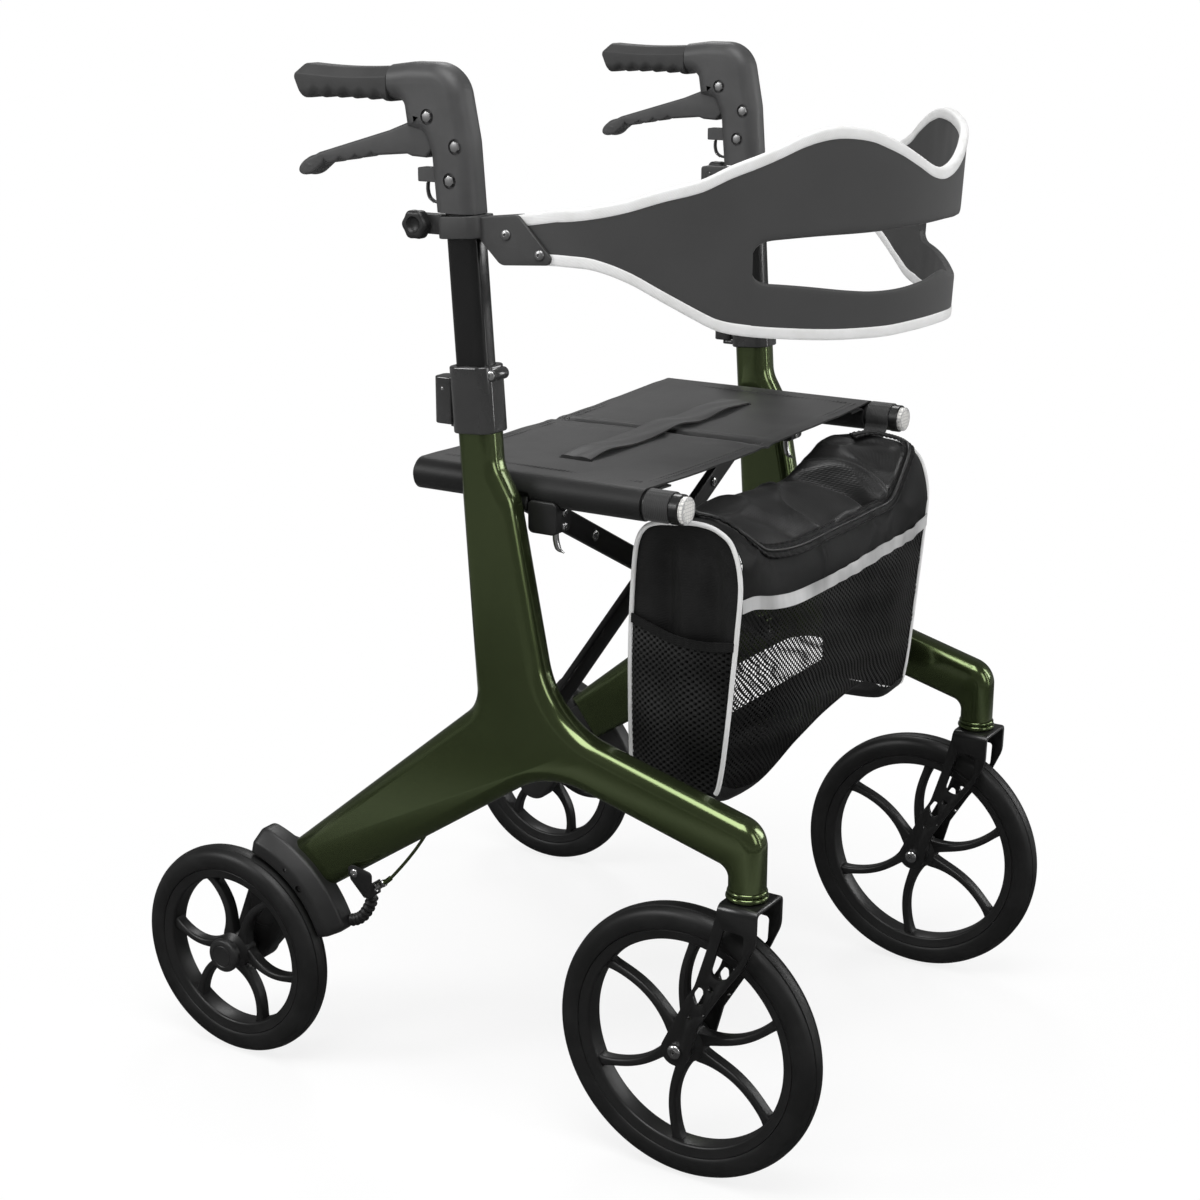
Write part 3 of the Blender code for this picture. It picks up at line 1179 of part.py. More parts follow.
def make_brake_cable(side):
    word = side_word(side)
    body = word + '_side'
    face = FRAME_X + FRAME_THICKNESS / 2 + CLEARANCE
    plate = rounded([(ahead(0.1255), 0.2105, 0.004), (ahead(0.1290), 0.1990, 0.003), (ahead(0.1440), 0.1840, 0.002),
                     (ahead(0.1525), 0.1850, 0.002), (ahead(0.1530), 0.2095, 0.003), (ahead(0.1320), 0.2140, 0.005)], 3)
    holder = prism([plate], 0.0020, (side * (face + 0.0010), 0, 0), UPRIGHT_YZ)
    flange_width = face + 0.0020 - CABLE_X + 0.0060
    flange_middle = side * (face + 0.0020 - flange_width / 2)
    fuse(holder, block((flange_width, 0.0020, 0.0130), (flange_middle, ahead(0.1510), 0.1920)))
    start, end = Vector(ADJUSTER[0]), Vector(ADJUSTER[1])
    centre = (start + end) / 2
    tilt = -math.atan2(end.x - start.x, end.y - start.y)
    place_at = (side * CABLE_X, ahead(centre.x), centre.y)
    length = (end - start).length
    fuse(holder, rod(0.0034, length, place_at, (-tilt, 0, 0), 12))
    keep(holder, word + '_cable_bracket', STEEL, body)

    steps = 2 * BELLOWS_RIBS
    ribs = [(side * CABLE_X, *along_route(BOOT_ROUTE, i / steps)) for i in range(steps + 1)]
    radii = [0.72 if i % 2 == 0 else 1.0 for i in range(steps + 1)]
    boot = tube(ribs, BELLOWS_RADIUS, radii, 2)
    bore = [(side * CABLE_X, *along_route(BOOT_ROUTE, share)) for share in (-0.08, 0.15, 0.4, 0.6, 0.85, 1.08)]
    cut(boot, tube(bore, BELLOWS_BORE, resolution=1))
    keep(boot, word + '_bellows', RUBBER, body)

    route = [(side * (FRAME_X + (CABLE_X - FRAME_X) * share), ahead(distance), z)
             for (distance, z), share in zip(CABLE_ROUTE, (0, 0, 0.25, 0.55, 0.8, 0.95, 1.0))]
    keep(tube(route, CABLE_RADIUS), word + '_lower_cable', GREEN, body)


def along_route(route, share):
    # A point part of the way along a chain of (distance ahead of the rear axle, height) points.
    legs = [math.dist(a, b) for a, b in zip(route, route[1:])]
    left = share * sum(legs)
    for (start, end), leg in zip(zip(route, route[1:]), legs):
        if left <= leg + 1e-9:
            break
        left -= leg
    part = left / leg
    return (ahead(start[0] + (end[0] - start[0]) * part), start[1] + (end[1] - start[1]) * part)


# Rail rests

def make_rail_rest(side):
    word = side_word(side)
    face = FRAME_X - FRAME_THICKNESS / 2 - CLEARANCE
    near = RAIL_X - REST_REACH
    behind = BAR_SPACING / 2 + BAR_THICKNESS / 2 + REST_GAP
    middle_y = ahead(CROSS_SETBACK + behind + REST_SIZE / 2)
    middle_z = RAIL_Z - REST_DROP
    rest = block((face - near, REST_SIZE, REST_SIZE), (side * (face + near) / 2, middle_y, middle_z), edge=0.003)
    hook = rod(REST_HOOK_RADIUS, REST_HOOK_LENGTH, (side * RAIL_X, middle_y - 0.004, middle_z - REST_SIZE / 2 - 0.006),
               sides=12)
    fuse(rest, hook)
    groove = RAIL_RADIUS + CLEARANCE + SLEEVE_WALL + 2 * CLEARANCE
    cut(rest, rod(groove, 3 * REST_SIZE, (side * RAIL_X, middle_y, RAIL_Z), ALONG_Y, 32))
    keep(rest, word + '_rail_rest', BLACK_PLASTIC, word + '_side')


def main():
    make_bodies()
    for side in (RIGHT, LEFT):
        make_side_frame(side)
        make_front_wheel(side)
        make_rear_wheel(side)
        make_caster(side)
        make_brake_bracket(side)
        make_brake_cable(side)
        make_inner_post(side)
        make_height_clamp(side)
        make_handle(side)
        make_bracket(side)
        make_rail_rest(side)
    make_cross(LEFT, 'front_cross_bar', 'front_cross')
    make_cross(RIGHT, 'rear_cross_bar', 'rear_cross')
    make_centre_bolt()
    make_rail(RIGHT, 'front_cross')
    make_rail(LEFT, 'rear_cross')
    make_seat()
    make_pull_strap()
    make_bag()
    make_band()


main()
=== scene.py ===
import math
import bmesh
import bpy
from mathutils import Matrix, Vector, noise


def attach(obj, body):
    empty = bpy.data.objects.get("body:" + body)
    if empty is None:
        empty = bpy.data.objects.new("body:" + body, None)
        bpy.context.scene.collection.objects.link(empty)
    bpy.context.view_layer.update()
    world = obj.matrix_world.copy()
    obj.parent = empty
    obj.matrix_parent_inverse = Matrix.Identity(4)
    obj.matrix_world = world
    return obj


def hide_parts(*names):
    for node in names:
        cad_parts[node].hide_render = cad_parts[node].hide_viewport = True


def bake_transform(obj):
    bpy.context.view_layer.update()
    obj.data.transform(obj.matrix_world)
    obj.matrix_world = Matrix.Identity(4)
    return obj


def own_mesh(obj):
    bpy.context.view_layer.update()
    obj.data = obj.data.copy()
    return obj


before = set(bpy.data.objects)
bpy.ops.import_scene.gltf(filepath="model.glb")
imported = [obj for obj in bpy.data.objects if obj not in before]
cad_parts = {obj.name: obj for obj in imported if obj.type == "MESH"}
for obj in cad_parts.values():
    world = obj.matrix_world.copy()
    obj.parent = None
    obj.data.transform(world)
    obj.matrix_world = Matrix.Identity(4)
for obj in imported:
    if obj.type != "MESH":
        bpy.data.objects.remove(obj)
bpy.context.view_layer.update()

right, left = -1, 1
rearAxleY = 0.2495    # everything is placed by its distance ahead of the rear axle
print("frame loaded with", len(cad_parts), "nodes")


# places and outlines

def ahead(distance):
    return rearAxleY - distance


def sideWord(side):
    return "right" if side < 0 else "left"


def arc(centre, radius, start, end, steps):
    turns = [math.radians(start + (end - start) * i / steps) for i in range(steps + 1)]
    return [(centre[0] + radius * math.cos(t), centre[1] + radius * math.sin(t)) for t in turns]


def circle(centre, radius, steps=32):
    return arc(centre, radius, 0, 360 * (1 - 1 / steps), steps - 1)


def rounded(corners, steps=8):
    # a closed outline whose corners (u, v, radius) become arcs
    outline = []
    for i, (u, v, radius) in enumerate(corners):
        corner = Vector((u, v))
        before = (Vector(corners[i - 1][:2]) - corner).normalized()
        after = (Vector(corners[(i + 1) % len(corners)][:2]) - corner).normalized()
        if radius == 0:
            outline.append(tuple(corner))
            continue
        half = before.angle(after) / 2
        centre = corner + (before + after).normalized() * radius / math.sin(half)
        start = corner + before * radius / math.tan(half) - centre
        turn = start.angle_signed(corner + after * radius / math.tan(half) - centre)
        for k in range(steps + 1):
            outline.append(tuple(centre + Matrix.Rotation(-turn * k / steps, 2) @ start))
    return outline


def boxOutline(width, depth, radius, steps=6):
    u, v = width / 2, depth / 2
    return rounded([(-u, -v, radius), (u, -v, radius), (u, v, radius), (-u, v, radius)], steps)


def catmull(a, b, c, d, t):
    # twice the place between b and c on a smooth line through four points
    return 2 * b + (c - a) * t + (2 * a - 5 * b + 4 * c - d) * t * t + (3 * b - a - 3 * c + d) * t ** 3


def smoothLine(points, count, closed=False):
    # a Catmull-Rom line through a few points, at evenly spread places
    pts = [Vector(p) for p in points]
    spans = len(pts) if closed else len(pts) - 1
    line = []
    for i in range(count):
        place = spans * i / (count if closed else count - 1)
        k = min(int(place), spans - 1)
        if closed:
            a, b, c, d = (pts[(k + j - 1) % len(pts)] for j in range(4))
        else:
            b, c = pts[k], pts[k + 1]
            a = pts[k - 1] if k else b * 2 - c
            d = pts[k + 2] if k + 2 < len(pts) else c * 2 - b
        line.append(0.5 * catmull(a, b, c, d, place - k))
    return line


def between(low, high, x):
    # 0 below low, 1 above high, smooth in the middle
    t = min(max((x - low) / (high - low), 0), 1)
    return t * t * (3 - 2 * t)


def always(value):
    # a function with one value everywhere
    return lambda place: value


# mesh making

alongX = (0, math.pi / 2, 0)
alongY = (-math.pi / 2, 0, 0)
uprightYZ = (math.pi / 2, 0, math.pi / 2)
uprightXZ = (math.pi / 2, 0, 0)
postLean = math.radians(3.8)
leaning = (-postLean, 0, 0)


def put(name, data):
    made = bpy.data.objects.new(name, data)
    bpy.context.scene.collection.objects.link(made)
    return made


def smooth(obj, angle=34):
    obj.data.shade_smooth()
    obj.data.set_sharp_from_angle(angle=math.radians(angle))
    return obj


def asMesh(obj, angle=34):
    # applies modifiers and place, and welds what a curve leaves open
    bpy.context.view_layer.update()
    graph = bpy.context.evaluated_depsgraph_get()
    data = bpy.data.meshes.new_from_object(obj.evaluated_get(graph))
    data.transform(obj.matrix_world)
    shape = bmesh.new()
    shape.from_mesh(data)
    bmesh.ops.remove_doubles(shape, verts=shape.verts, dist=0.000005)
    bmesh.ops.recalc_face_normals(shape, faces=shape.faces)
    shape.to_mesh(data)
    shape.free()
    name = obj.name
    bpy.data.objects.remove(obj)
    made = put(name, data)
    made.name = name
    return smooth(made, angle)


def meshOf(name, shape, place=None, turn=(0, 0, 0), angle=34):
    data = bpy.data.meshes.new(name)
    bmesh.ops.recalc_face_normals(shape, faces=shape.faces)
    shape.to_mesh(data)
    shape.free()
    made = put(name, data)
    if place is not None:
        made.location = place
        made.rotation_euler = turn
        bpy.context.view_layer.update()
        data.transform(made.matrix_world)
        made.matrix_world = Matrix.Identity(4)
    return smooth(made, angle)


def slab(name, outlines, thickness, place, turn, edge=0.0, rounds=4):
    # an outline, with any holes after it, made thick, with rounded rims
    curve = bpy.data.curves.new(name, "CURVE")
    curve.dimensions = "2D"
    curve.fill_mode = "BOTH"
    curve.extrude = thickness / 2 - edge
    curve.bevel_depth = edge
    curve.bevel_resolution = rounds
    curve.offset = -edge
    for outline in outlines:
        spline = curve.splines.new("POLY")
        spline.points.add(len(outline) - 1)
        for point, (u, v) in zip(spline.points, outline):
            point.co = (u, v, 0, 1)
        spline.use_cyclic_u = True
    made = put(name, curve)
    made.location = place
    made.rotation_euler = turn
    return asMesh(made)


def turned(name, profile, place, turn=(0, 0, 0), steps=48, closed=False, angle=34):
    # spins (radius, height) pairs about the local Z
    shape = bmesh.new()
    rings = []
    for i in range(steps):
        a = 2 * math.pi * i / steps
        rings.append([shape.verts.new((r * math.cos(a), r * math.sin(a), h)) for r, h in profile])
    count = len(profile)
    spans = count if closed else count - 1
    for i in range(steps):
        one, two = rings[i], rings[(i + 1) % steps]
        for k in range(spans):
            shape.faces.new((one[k], two[k], two[(k + 1) % count], one[(k + 1) % count]))
    bmesh.ops.remove_doubles(shape, verts=shape.verts, dist=0.000005)
    loose = [f for f in shape.faces if f.calc_area() < 1e-13]
    bmesh.ops.delete(shape, geom=loose, context="FACES")
    return meshOf(name, shape, place, turn, angle)


def block(name, width, depth, corner, thickness, place, turn=uprightYZ, edge=0.0, rounds=4):
    # a box with rounded corners
    return slab(name, [boxOutline(width, depth, corner)], thickness, place, turn, edge, rounds)


def sideSlab(name, outline, thickness, x, edge=0.0, rounds=4):
    # an outline in the side view, made thick across X
    return slab(name, [outline], thickness, (x, 0, 0), uprightYZ, edge, rounds)


def thicken(obj, thickness, offset=0, angle=60):
    # makes a thin solid of a single skin
    wall = obj.modifiers.new("wall", "SOLIDIFY")
    wall.thickness = thickness
    wall.offset = offset
    return asMesh(obj, angle)


def rod(name, radius, length, place, turn=(0, 0, 0), steps=32, edge=0.0004):
    half = length / 2
    rim = [(radius - edge, half), (radius, half - edge), (radius, edge - half), (radius - edge, -half)]
    return turned(name, [(0, half), *rim, (0, -half)], place, turn, steps)


def loft(name, rings, closedRing=True, capped=True, angle=40):
    # skins rows of points
    shape = bmesh.new()
    rows = [[shape.verts.new(p) for p in ring] for ring in rings]
    for one, two in zip(rows, rows[1:]):
        count = len(one)
        for k in range(count if closedRing else count - 1):
            shape.faces.new((one[k], one[(k + 1) % count], two[(k + 1) % count], two[k]))
    if capped and closedRing:
        shape.faces.new(rows[0][::-1])
        shape.faces.new(rows[-1])
    return meshOf(name, shape, angle=angle)


def openSkin(name, rows):
    # an open sheet through rows of points
    return loft(name, rows, closedRing=False, capped=False)


def tube(name, line, radius, steps=12, radii=None, flatten=1.0, closed=False, angle=50):
    # a round or flattened section carried along a line
    pts = [Vector(p) for p in line]
    rings = []
    up = None
    for i, p in enumerate(pts):
        before = pts[i - 1] if i or closed else p
        after = pts[(i + 1) % len(pts)] if i + 1 < len(pts) or closed else p
        along = (after - before).normalized()
        if up is None:
            up = along.orthogonal().normalized()
        up = (up - along * up.dot(along)).normalized()
        across = along.cross(up)
        r = radius * (radii[i] if radii else 1)
        rings.append([p + r * (up * math.cos(a) + across * math.sin(a) * flatten)
                      for a in [2 * math.pi * k / steps for k in range(steps)]])
    if closed:
        rings.append(rings[0])
    return loft(name, rings, capped=not closed, angle=angle)


def joined(name, *parts):
    # several meshes become one object
    shape = bmesh.new()
    for part in parts:
        part.data.transform(part.matrix_world)
        shape.from_mesh(part.data)
        bpy.data.objects.remove(part)
    data = bpy.data.meshes.new(name)
    shape.to_mesh(data)
    shape.free()
    return put(name, data)


def carve(obj, *tools, operation="DIFFERENCE"):
    for tool in tools:
        change = obj.modifiers.new("carve", "BOOLEAN")
        change.operation = operation
        change.solver = "EXACT"
        change.object = tool
    name = obj.name
    made = asMesh(obj)
    for tool in tools:
        bpy.data.objects.remove(tool)
    made.name = name
    return made


def softEdges(obj, width, segments=2, limit=35):
    bevel = obj.modifiers.new("edges", "BEVEL")
    bevel.width = width
    bevel.segments = segments
    bevel.limit_method = "ANGLE"
    bevel.angle_limit = math.radians(limit)
    bevel.harden_normals = False
    return asMesh(obj, 30)


# materials

class Wire:
    # one output socket; arithmetic on it adds Math nodes
    def __init__(self, finish, socket):
        self.finish = finish
        self.socket = socket

    def maths(self, operation, other=None, turned=False):
        pair = [self] if other is None else [other, self] if turned else [self, other]
        return self.finish.node("ShaderNodeMath", {"operation": operation}, dict(enumerate(pair)))

    def __add__(self, other):
        return self.maths("ADD", other)

    def __sub__(self, other):
        return self.maths("SUBTRACT", other)

    def __rsub__(self, other):
        return self.maths("SUBTRACT", other, True)

    def __mul__(self, other):
        return self.maths("MULTIPLY", other)

    def __truediv__(self, other):
        return self.maths("DIVIDE", other)

    def __gt__(self, other):
        return self.maths("GREATER_THAN", other)

    def __lt__(self, other):
        return self.maths("LESS_THAN", other)

    __radd__ = __add__
    __rmul__ = __mul__


class Finish:
    # one material: a Principled shader with what feeds it
    def __init__(self, name, **fixed):
        self.material = bpy.data.materials.new(name)
        self.material.use_nodes = True
        self.tree = self.material.node_tree
        self.shader = self.tree.nodes["Principled BSDF"]
        for socket, value in fixed.items():
            self.shader.inputs[socket.replace("_", " ")].default_value = value

    def node(self, kind, settings=None, sockets=None, output=0):
        made = self.tree.nodes.new(kind)
        for key, value in (settings or {}).items():
            if key == "stops":
                ramp = made.color_ramp
                while len(ramp.elements) < len(value):
                    ramp.elements.new(0.5)
                for element, (place, colour) in zip(ramp.elements, value):
                    element.position = place
                    element.color = (*colour, 1)
            else:
                setattr(made, key, value)
        for key, value in (sockets or {}).items():
            if isinstance(value, Wire):
                self.tree.links.new(value.socket, made.inputs[key])
            else:
                made.inputs[key].default_value = value
        return Wire(self, made.outputs[output])

    def place(self):
        return self.node("ShaderNodeTexCoord", output=3)

    def axes(self):
        split = self.node("ShaderNodeSeparateXYZ", {}, {0: self.place()})
        return [Wire(self, split.socket.node.outputs[i]) for i in range(3)]

    def noise(self, scale, detail=3.0, rough=0.5, stretch=None):
        spot = self.place()
        if stretch:
            spot = self.node("ShaderNodeVectorMath", {"operation": "MULTIPLY"}, {0: spot, 1: stretch})
        return self.node("ShaderNodeTexNoise", {},
                         {"Vector": spot, "Scale": scale, "Detail": detail, "Roughness": rough})

    def mix(self, factor, first, second, blend="MIX"):
        # sockets 0, 6 and 7 are the colour Mix node's factor, A and B
        pair = [c if isinstance(c, Wire) else (*c, 1) for c in (first, second)]
        return self.node("ShaderNodeMix", {"data_type": "RGBA", "blend_type": blend},
                         {0: factor, 6: pair[0], 7: pair[1]}, 2)

    def span(self, wire, low, high, start=0.0, end=1.0):
        sockets = {0: wire, 1: start, 2: end, 3: low, 4: high}
        return self.node("ShaderNodeMapRange", {}, sockets)

    def feed(self, socket, wire):
        self.tree.links.new(wire.socket, self.shader.inputs[socket])

    def bump(self, height, strength, depth):
        made = self.node("ShaderNodeBump", {}, {"Height": height, "Strength": strength, "Distance": depth})
        self.feed("Normal", made)


def grey(value, tint=0.0):
    return (value, value, value * (1 + tint))


looks = {
    "green": (0.098, 0.132, 0.052), "greenWarm": (0.112, 0.146, 0.060), "handle": 0.054, "grip": 0.034,
    "rubber": 0.0085, "rim": 0.0105, "metal": 0.0080, "gloss": 0.0060, "clamp": 0.028, "moulded": 0.0140,
    "bracket": 0.040, "brightSteel": 0.72, "darkSteel": 0.18, "satinSteel": 0.46, "seat": 0.0125,
    # the strap is the seat's leather set lighter: painted light against the shade it renders with
    "strap": 0.0225, "web": 0.016, "band": 0.0500, "bag": 0.0175, "yoke": 0.0070, "mesh": 0.0090,
    "white": 0.70, "reflective": 0.55, "thread": 0.05, "lens": (0.80, 0.79, 0.76), "lensRim": 0.34,
    "paper": (0.93, 0.93, 0.93),
}


def paintGreen(name="frameGreen"):
    # metal flake paint: what it mirrors is tinted green, under a thin clear coat
    f = Finish(name, Metallic=0.9, Coat_Weight=0.35, Coat_Roughness=0.04, Coat_IOR=1.5)
    drift = f.noise(5.5, 2.0)
    f.feed("Base Color", f.mix(f.span(drift, 0, 1, 0.35, 0.65), looks["green"], looks["greenWarm"]))
    f.feed("Roughness", f.span(f.noise(30.0, 2.0), 0.16, 0.22))
    f.bump(f.noise(38.0, 1.0), 0.01, 0.001)
    return f.material


def plastic(name, value, low, high, grain, depth, coat=0.0, tint=0.0):
    f = Finish(name, Coat_Weight=coat, Coat_Roughness=0.12)
    wear = f.noise(28.0, 4.0, 0.6)
    f.feed("Base Color",
           f.mix(f.span(wear, 0, 1, 0.3, 0.7), grey(value * 0.86, tint), grey(value * 1.16, tint)))
    fine = f.noise(grain, 3.0, 0.6)
    f.feed("Roughness", f.span(fine * 0.5 + wear * 0.5, low, high, 0.3, 0.7))
    f.bump(fine, 0.35, depth)
    return f.material


def metal(name, value, low, high, metallic=1.0):
    f = Finish(name, Metallic=metallic)
    smear = f.noise(180.0, 3.0, 0.6, (1.0, 0.15, 1.0))
    f.feed("Base Color", f.mix(smear, grey(value * 0.8), grey(value)))
    f.feed("Roughness", f.span(smear, low, high))
    return f.material


def rubberTread():
    f = Finish("tyreRubber", Specular_IOR_Level=0.4)
    dust = f.noise(24.0, 5.0, 0.65)
    f.feed("Base Color",
           f.mix(f.span(dust, 0, 1, 0.45, 0.75), grey(looks["rubber"]), grey(looks["rubber"] * 1.7)))
    fine = f.noise(900.0, 3.0)
    f.feed("Roughness", f.span(dust, 0.36, 0.52))
    f.bump(fine, 0.3, 0.00015)
    return f.material


def leather(name, value):
    # smooth coated seat cloth with a fine pebble grain and shiny worn patches
    f = Finish(name, Specular_IOR_Level=0.35, Sheen_Weight=0.12, Sheen_Roughness=0.4)
    pebble = f.node("ShaderNodeTexVoronoi", {"feature": "SMOOTH_F1"}, {"Vector": f.place(), "Scale": 620.0})
    cloud = f.noise(9.0, 4.0, 0.6)
    f.feed("Base Color", f.mix(f.span(cloud, 0, 1, 0.3, 0.7), grey(value * 0.8), grey(value * 1.2)))
    f.feed("Roughness", f.span(cloud, 0.46, 0.58, 0.3, 0.7))
    f.bump(pebble * 0.6 + f.noise(60.0, 3.0) * 0.4, 0.28, 0.0005)
    return f.material


def nylon(name, value, low, high, sheen=0.1, weave=2600.0, shine=0.5):
    # plain weave along X and Z, with painted light and shade of crumples in the colour
    f = Finish(name, Specular_IOR_Level=shine, Sheen_Weight=sheen, Sheen_Roughness=0.35)
    x, y, z = f.axes()
    warp = ((x + y * 0.4) * weave).maths("SINE")
    weft = ((z + y * 0.4) * weave).maths("SINE")
    cloth = warp * weft
    cloud = f.noise(22.0, 4.0, 0.6)
    shade = f.span(cloud * 0.8 + cloth * 0.1, 0, 1, 0.25, 0.6)
    f.feed("Base Color", f.mix(shade, grey(value * 0.75), grey(value * 1.25)))
    f.feed("Roughness", f.span(cloud, low, high, 0.3, 0.7))
    f.bump(cloth * 0.5 + f.noise(48.0, 3.0, 0.55) * 0.8, 0.3, 0.0005)
    return f.material


def neoprene():
    # smooth stretch cloth: hardly any weave, a few soft clouds
    f = Finish("bandFabric", Specular_IOR_Level=0.3, Sheen_Weight=0.08, Sheen_Roughness=0.4)
    cloud = f.noise(11.0, 3.0, 0.5)
    knit = f.noise(1500.0, 2.0, 0.5, (1.0, 1.0, 0.4))
    f.feed("Base Color", f.mix(f.span(cloud * 0.8 + knit * 0.2, 0, 1, 0.3, 0.7), grey(looks["band"] * 0.9),
                               grey(looks["band"] * 1.1)))
    f.feed("Roughness", f.span(cloud, 0.56, 0.68))
    f.bump(knit, 0.2, 0.0002)
    return f.material


def webbing(name, value):
    # narrow ribs across a strap
    f = Finish(name, Sheen_Weight=0.2)
    x, y, _ = f.axes()
    ribs = (x * 1900.0).maths("SINE") * 0.5 + (y * 3600.0).maths("SINE") * 0.5
    f.feed("Base Color", f.mix(f.span(ribs, 0, 1, -1, 1), grey(value * 0.7), grey(value * 1.3)))
    f.feed("Roughness", f.span(f.noise(40.0), 0.5, 0.7))
    f.bump(ribs, 0.5, 0.0003)
    return f.material


def netting(name, value, pitch, open_):
    # round holes in staggered rows, cut by alpha; a painted sheen lightens the threads in soft patches
    f = Finish(name, Roughness=0.55, Specular_IOR_Level=0.2)
    x, y, z = f.axes()
    wave = 2 * math.pi / pitch
    hole = ((x + y) * wave).maths("SINE") * (z * wave * 1.2).maths("SINE")
    lump = f.span(hole, 1, 0, -1, 1)
    shine = f.span(f.noise(9.0, 2.0, 0.5, (0.6, 0.6, 1.0)), 0, 1, 0.42, 0.62)
    # painted sheen: in soft noise patches the threads' colour is lifted up to five times
    f.feed("Base Color", f.mix(shine * lump, grey(value * 0.7), grey(value * 5.0)))
    f.feed("Alpha", hole < open_)
    f.bump(lump, 0.5, 0.0004)
    return f.material


def whiteTrim(name, value, ribs):
    f = Finish(name, Sheen_Weight=0.1)
    x, y, z = f.axes()
    weave = ((x + y + z) * ribs).maths("SINE") * ((x - y) * ribs).maths("SINE")
    dirt = f.noise(45.0, 4.0, 0.6)
    f.feed("Base Color", f.mix(f.span(dirt, 0, 1, 0.35, 0.8), grey(value), grey(value * 0.86, -0.02)))
    f.feed("Roughness", f.span(dirt, 0.45, 0.62))
    f.bump(weave * 0.5 + dirt, 0.3, 0.0003)
    return f.material


def reflectiveTape():
    f = Finish("reflectiveTape", Metallic=0.35)
    x, _, z = f.axes()
    lattice = ((x + z) * 3100.0).maths("SINE") * ((x - z) * 3100.0).maths("SINE")
    band = f.noise(30.0, 3.0, 0.5, (1.0, 1.0, 0.2))
    dull, bright = (grey(looks["reflective"] * share) for share in (0.75, 1.2))
    f.feed("Base Color", f.mix(f.span(band, 0, 1, 0.3, 0.7), dull, bright))
    f.feed("Roughness", f.span(band, 0.3, 0.5))
    f.bump(lattice * 0.4 + band, 0.3, 0.0003)
    return f.material


def hexLens():
    # pale lens with a honeycomb of small prisms
    f = Finish("reflectorLens", Coat_Weight=0.8, Coat_Roughness=0.05)
    cells = f.node("ShaderNodeTexVoronoi", {"feature": "DISTANCE_TO_EDGE"},
                   {"Vector": f.place(), "Scale": 330.0, "Randomness": 0.12})
    rim = f.span(cells, 0, 1, 0.02, 0.12)
    f.feed("Base Color", f.mix(rim, grey(looks["lensRim"]), looks["lens"]))
    f.feed("Roughness", f.span(rim, 0.45, 0.2))
    f.bump(rim, 0.5, 0.0005)
    return f.material


green = paintGreen()
handlePlastic = plastic("handlePlastic", looks["handle"], 0.42, 0.56, 1500.0, 0.00018, tint=0.01)
gripRubber = plastic("gripRubber", looks["grip"], 0.5, 0.64, 1100.0, 0.0003)
rimPlastic = plastic("rimPlastic", looks["rim"], 0.32, 0.46, 700.0, 0.00015)
moulded = plastic("mouldedBlack", looks["moulded"], 0.34, 0.5, 1200.0, 0.0002)
blackMetal = plastic("blackMetal", looks["metal"], 0.26, 0.4, 1600.0, 0.00012, coat=0.25)
clampGloss = plastic("clampGloss", looks["clamp"], 0.10, 0.18, 240.0, 0.0001, coat=0.9)
postGloss = plastic("postGloss", looks["gloss"], 0.16, 0.26, 240.0, 0.0001, coat=0.2)
bracketPlastic = plastic("bracketPlastic", looks["bracket"], 0.42, 0.56, 1300.0, 0.0002)
rubber = rubberTread()
steel = metal("brightSteel", looks["brightSteel"], 0.16, 0.32)
darkSteel = metal("darkSteel", looks["darkSteel"], 0.25, 0.4)
satinSteel = metal("satinSteel", looks["satinSteel"], 0.30, 0.44)
seatLeather = leather("seatLeather", looks["seat"] * 0.8)
# painted light: the strap's leather is the seat's, made lighter so the strap renders as bright as the seat
strapLeatherLit = leather("strapLeatherLit", looks["strap"])
strapWeb = webbing("strapWebbing", looks["web"])
bagNylon = nylon("bagNylon", looks["bag"], 0.3, 0.46, shine=0.4)
panelNylon = nylon("panelNylon", looks["bag"] * 0.6, 0.3, 0.46, shine=0.25)
bandFabric = neoprene()
hemCloth = nylon("hemCloth", looks["bag"] * 0.5, 0.45, 0.6, 0.05, 3400.0, shine=0.2)
yokeCloth = nylon("yokeCloth", looks["yoke"], 0.4, 0.55, 0.02, 3400.0, shine=0.12)
pocketNet = netting("pocketNet", looks["mesh"], 0.0066, 0.26)
bagNet = netting("bagNet", looks["mesh"] * 0.7, 0.0062, 0.16)
openNet = netting("openNet", looks["mesh"] * 0.7, 0.0062, -0.35)
whiteBinding = whiteTrim("whiteBinding", looks["white"] * 1.05, 2600.0)
whitePiping = whiteTrim("whitePiping", looks["white"], 3800.0)
tape = reflectiveTape()
lens = hexLens()
cableGreen = paintGreen("cableGreen")
threadGrey = plastic("thread", looks["thread"], 0.6, 0.7, 900.0, 0.0001)
print("materials made")


# how pieces join the frame

def dress(obj, material, body, replaces=()):
    obj.data.materials.clear()
    obj.data.materials.append(material)
    if replaces:
        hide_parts(*replaces)
    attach(obj, body)
    return obj


def flatten(obj, which):
    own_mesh(obj)
    return obj


# shared places, as the CAD has them

frameX = 0.2438
wheelX = 0.2748
frontAxle = (ahead(0.4775), 0.125)
rearAxle = (rearAxleY, 0.1035)
stemY = ahead(0.5308)
crossY = ahead(0.296)
crossZ = 0.456
crossTurn = math.radians(27.8)
pivotX = 0.216
pivotZ = crossZ - pivotX * math.tan(crossTurn)
railX, railZ, railRadius = 0.213, 0.581, 0.012
gap = 0.0003


def postY(z):
    return ahead(0.2715) + (z - 0.625) * math.tan(postLean)


def onPost(side, z):
    return Vector((side * frameX, postY(z), z))


def meet(pointA, angleA, pointB, angleB):
    # where two lines cross, each a point and its angle above +Y
    a = Vector((math.cos(angleA), math.sin(angleA)))
    b = Vector((math.cos(angleB), math.sin(angleB)))
    apart = Vector(pointB) - Vector(pointA)
    return Vector(pointA) + a * ((apart.x * b.y - apart.y * b.x) / (a.x * b.y - a.y * b.x))


def aroundRear(radius, degrees):
    turn = math.radians(degrees)
    return (rearAxleY - radius * math.cos(turn), rearAxle[1] + radius * math.sin(turn))


innerPost = (0.022, 0.031)


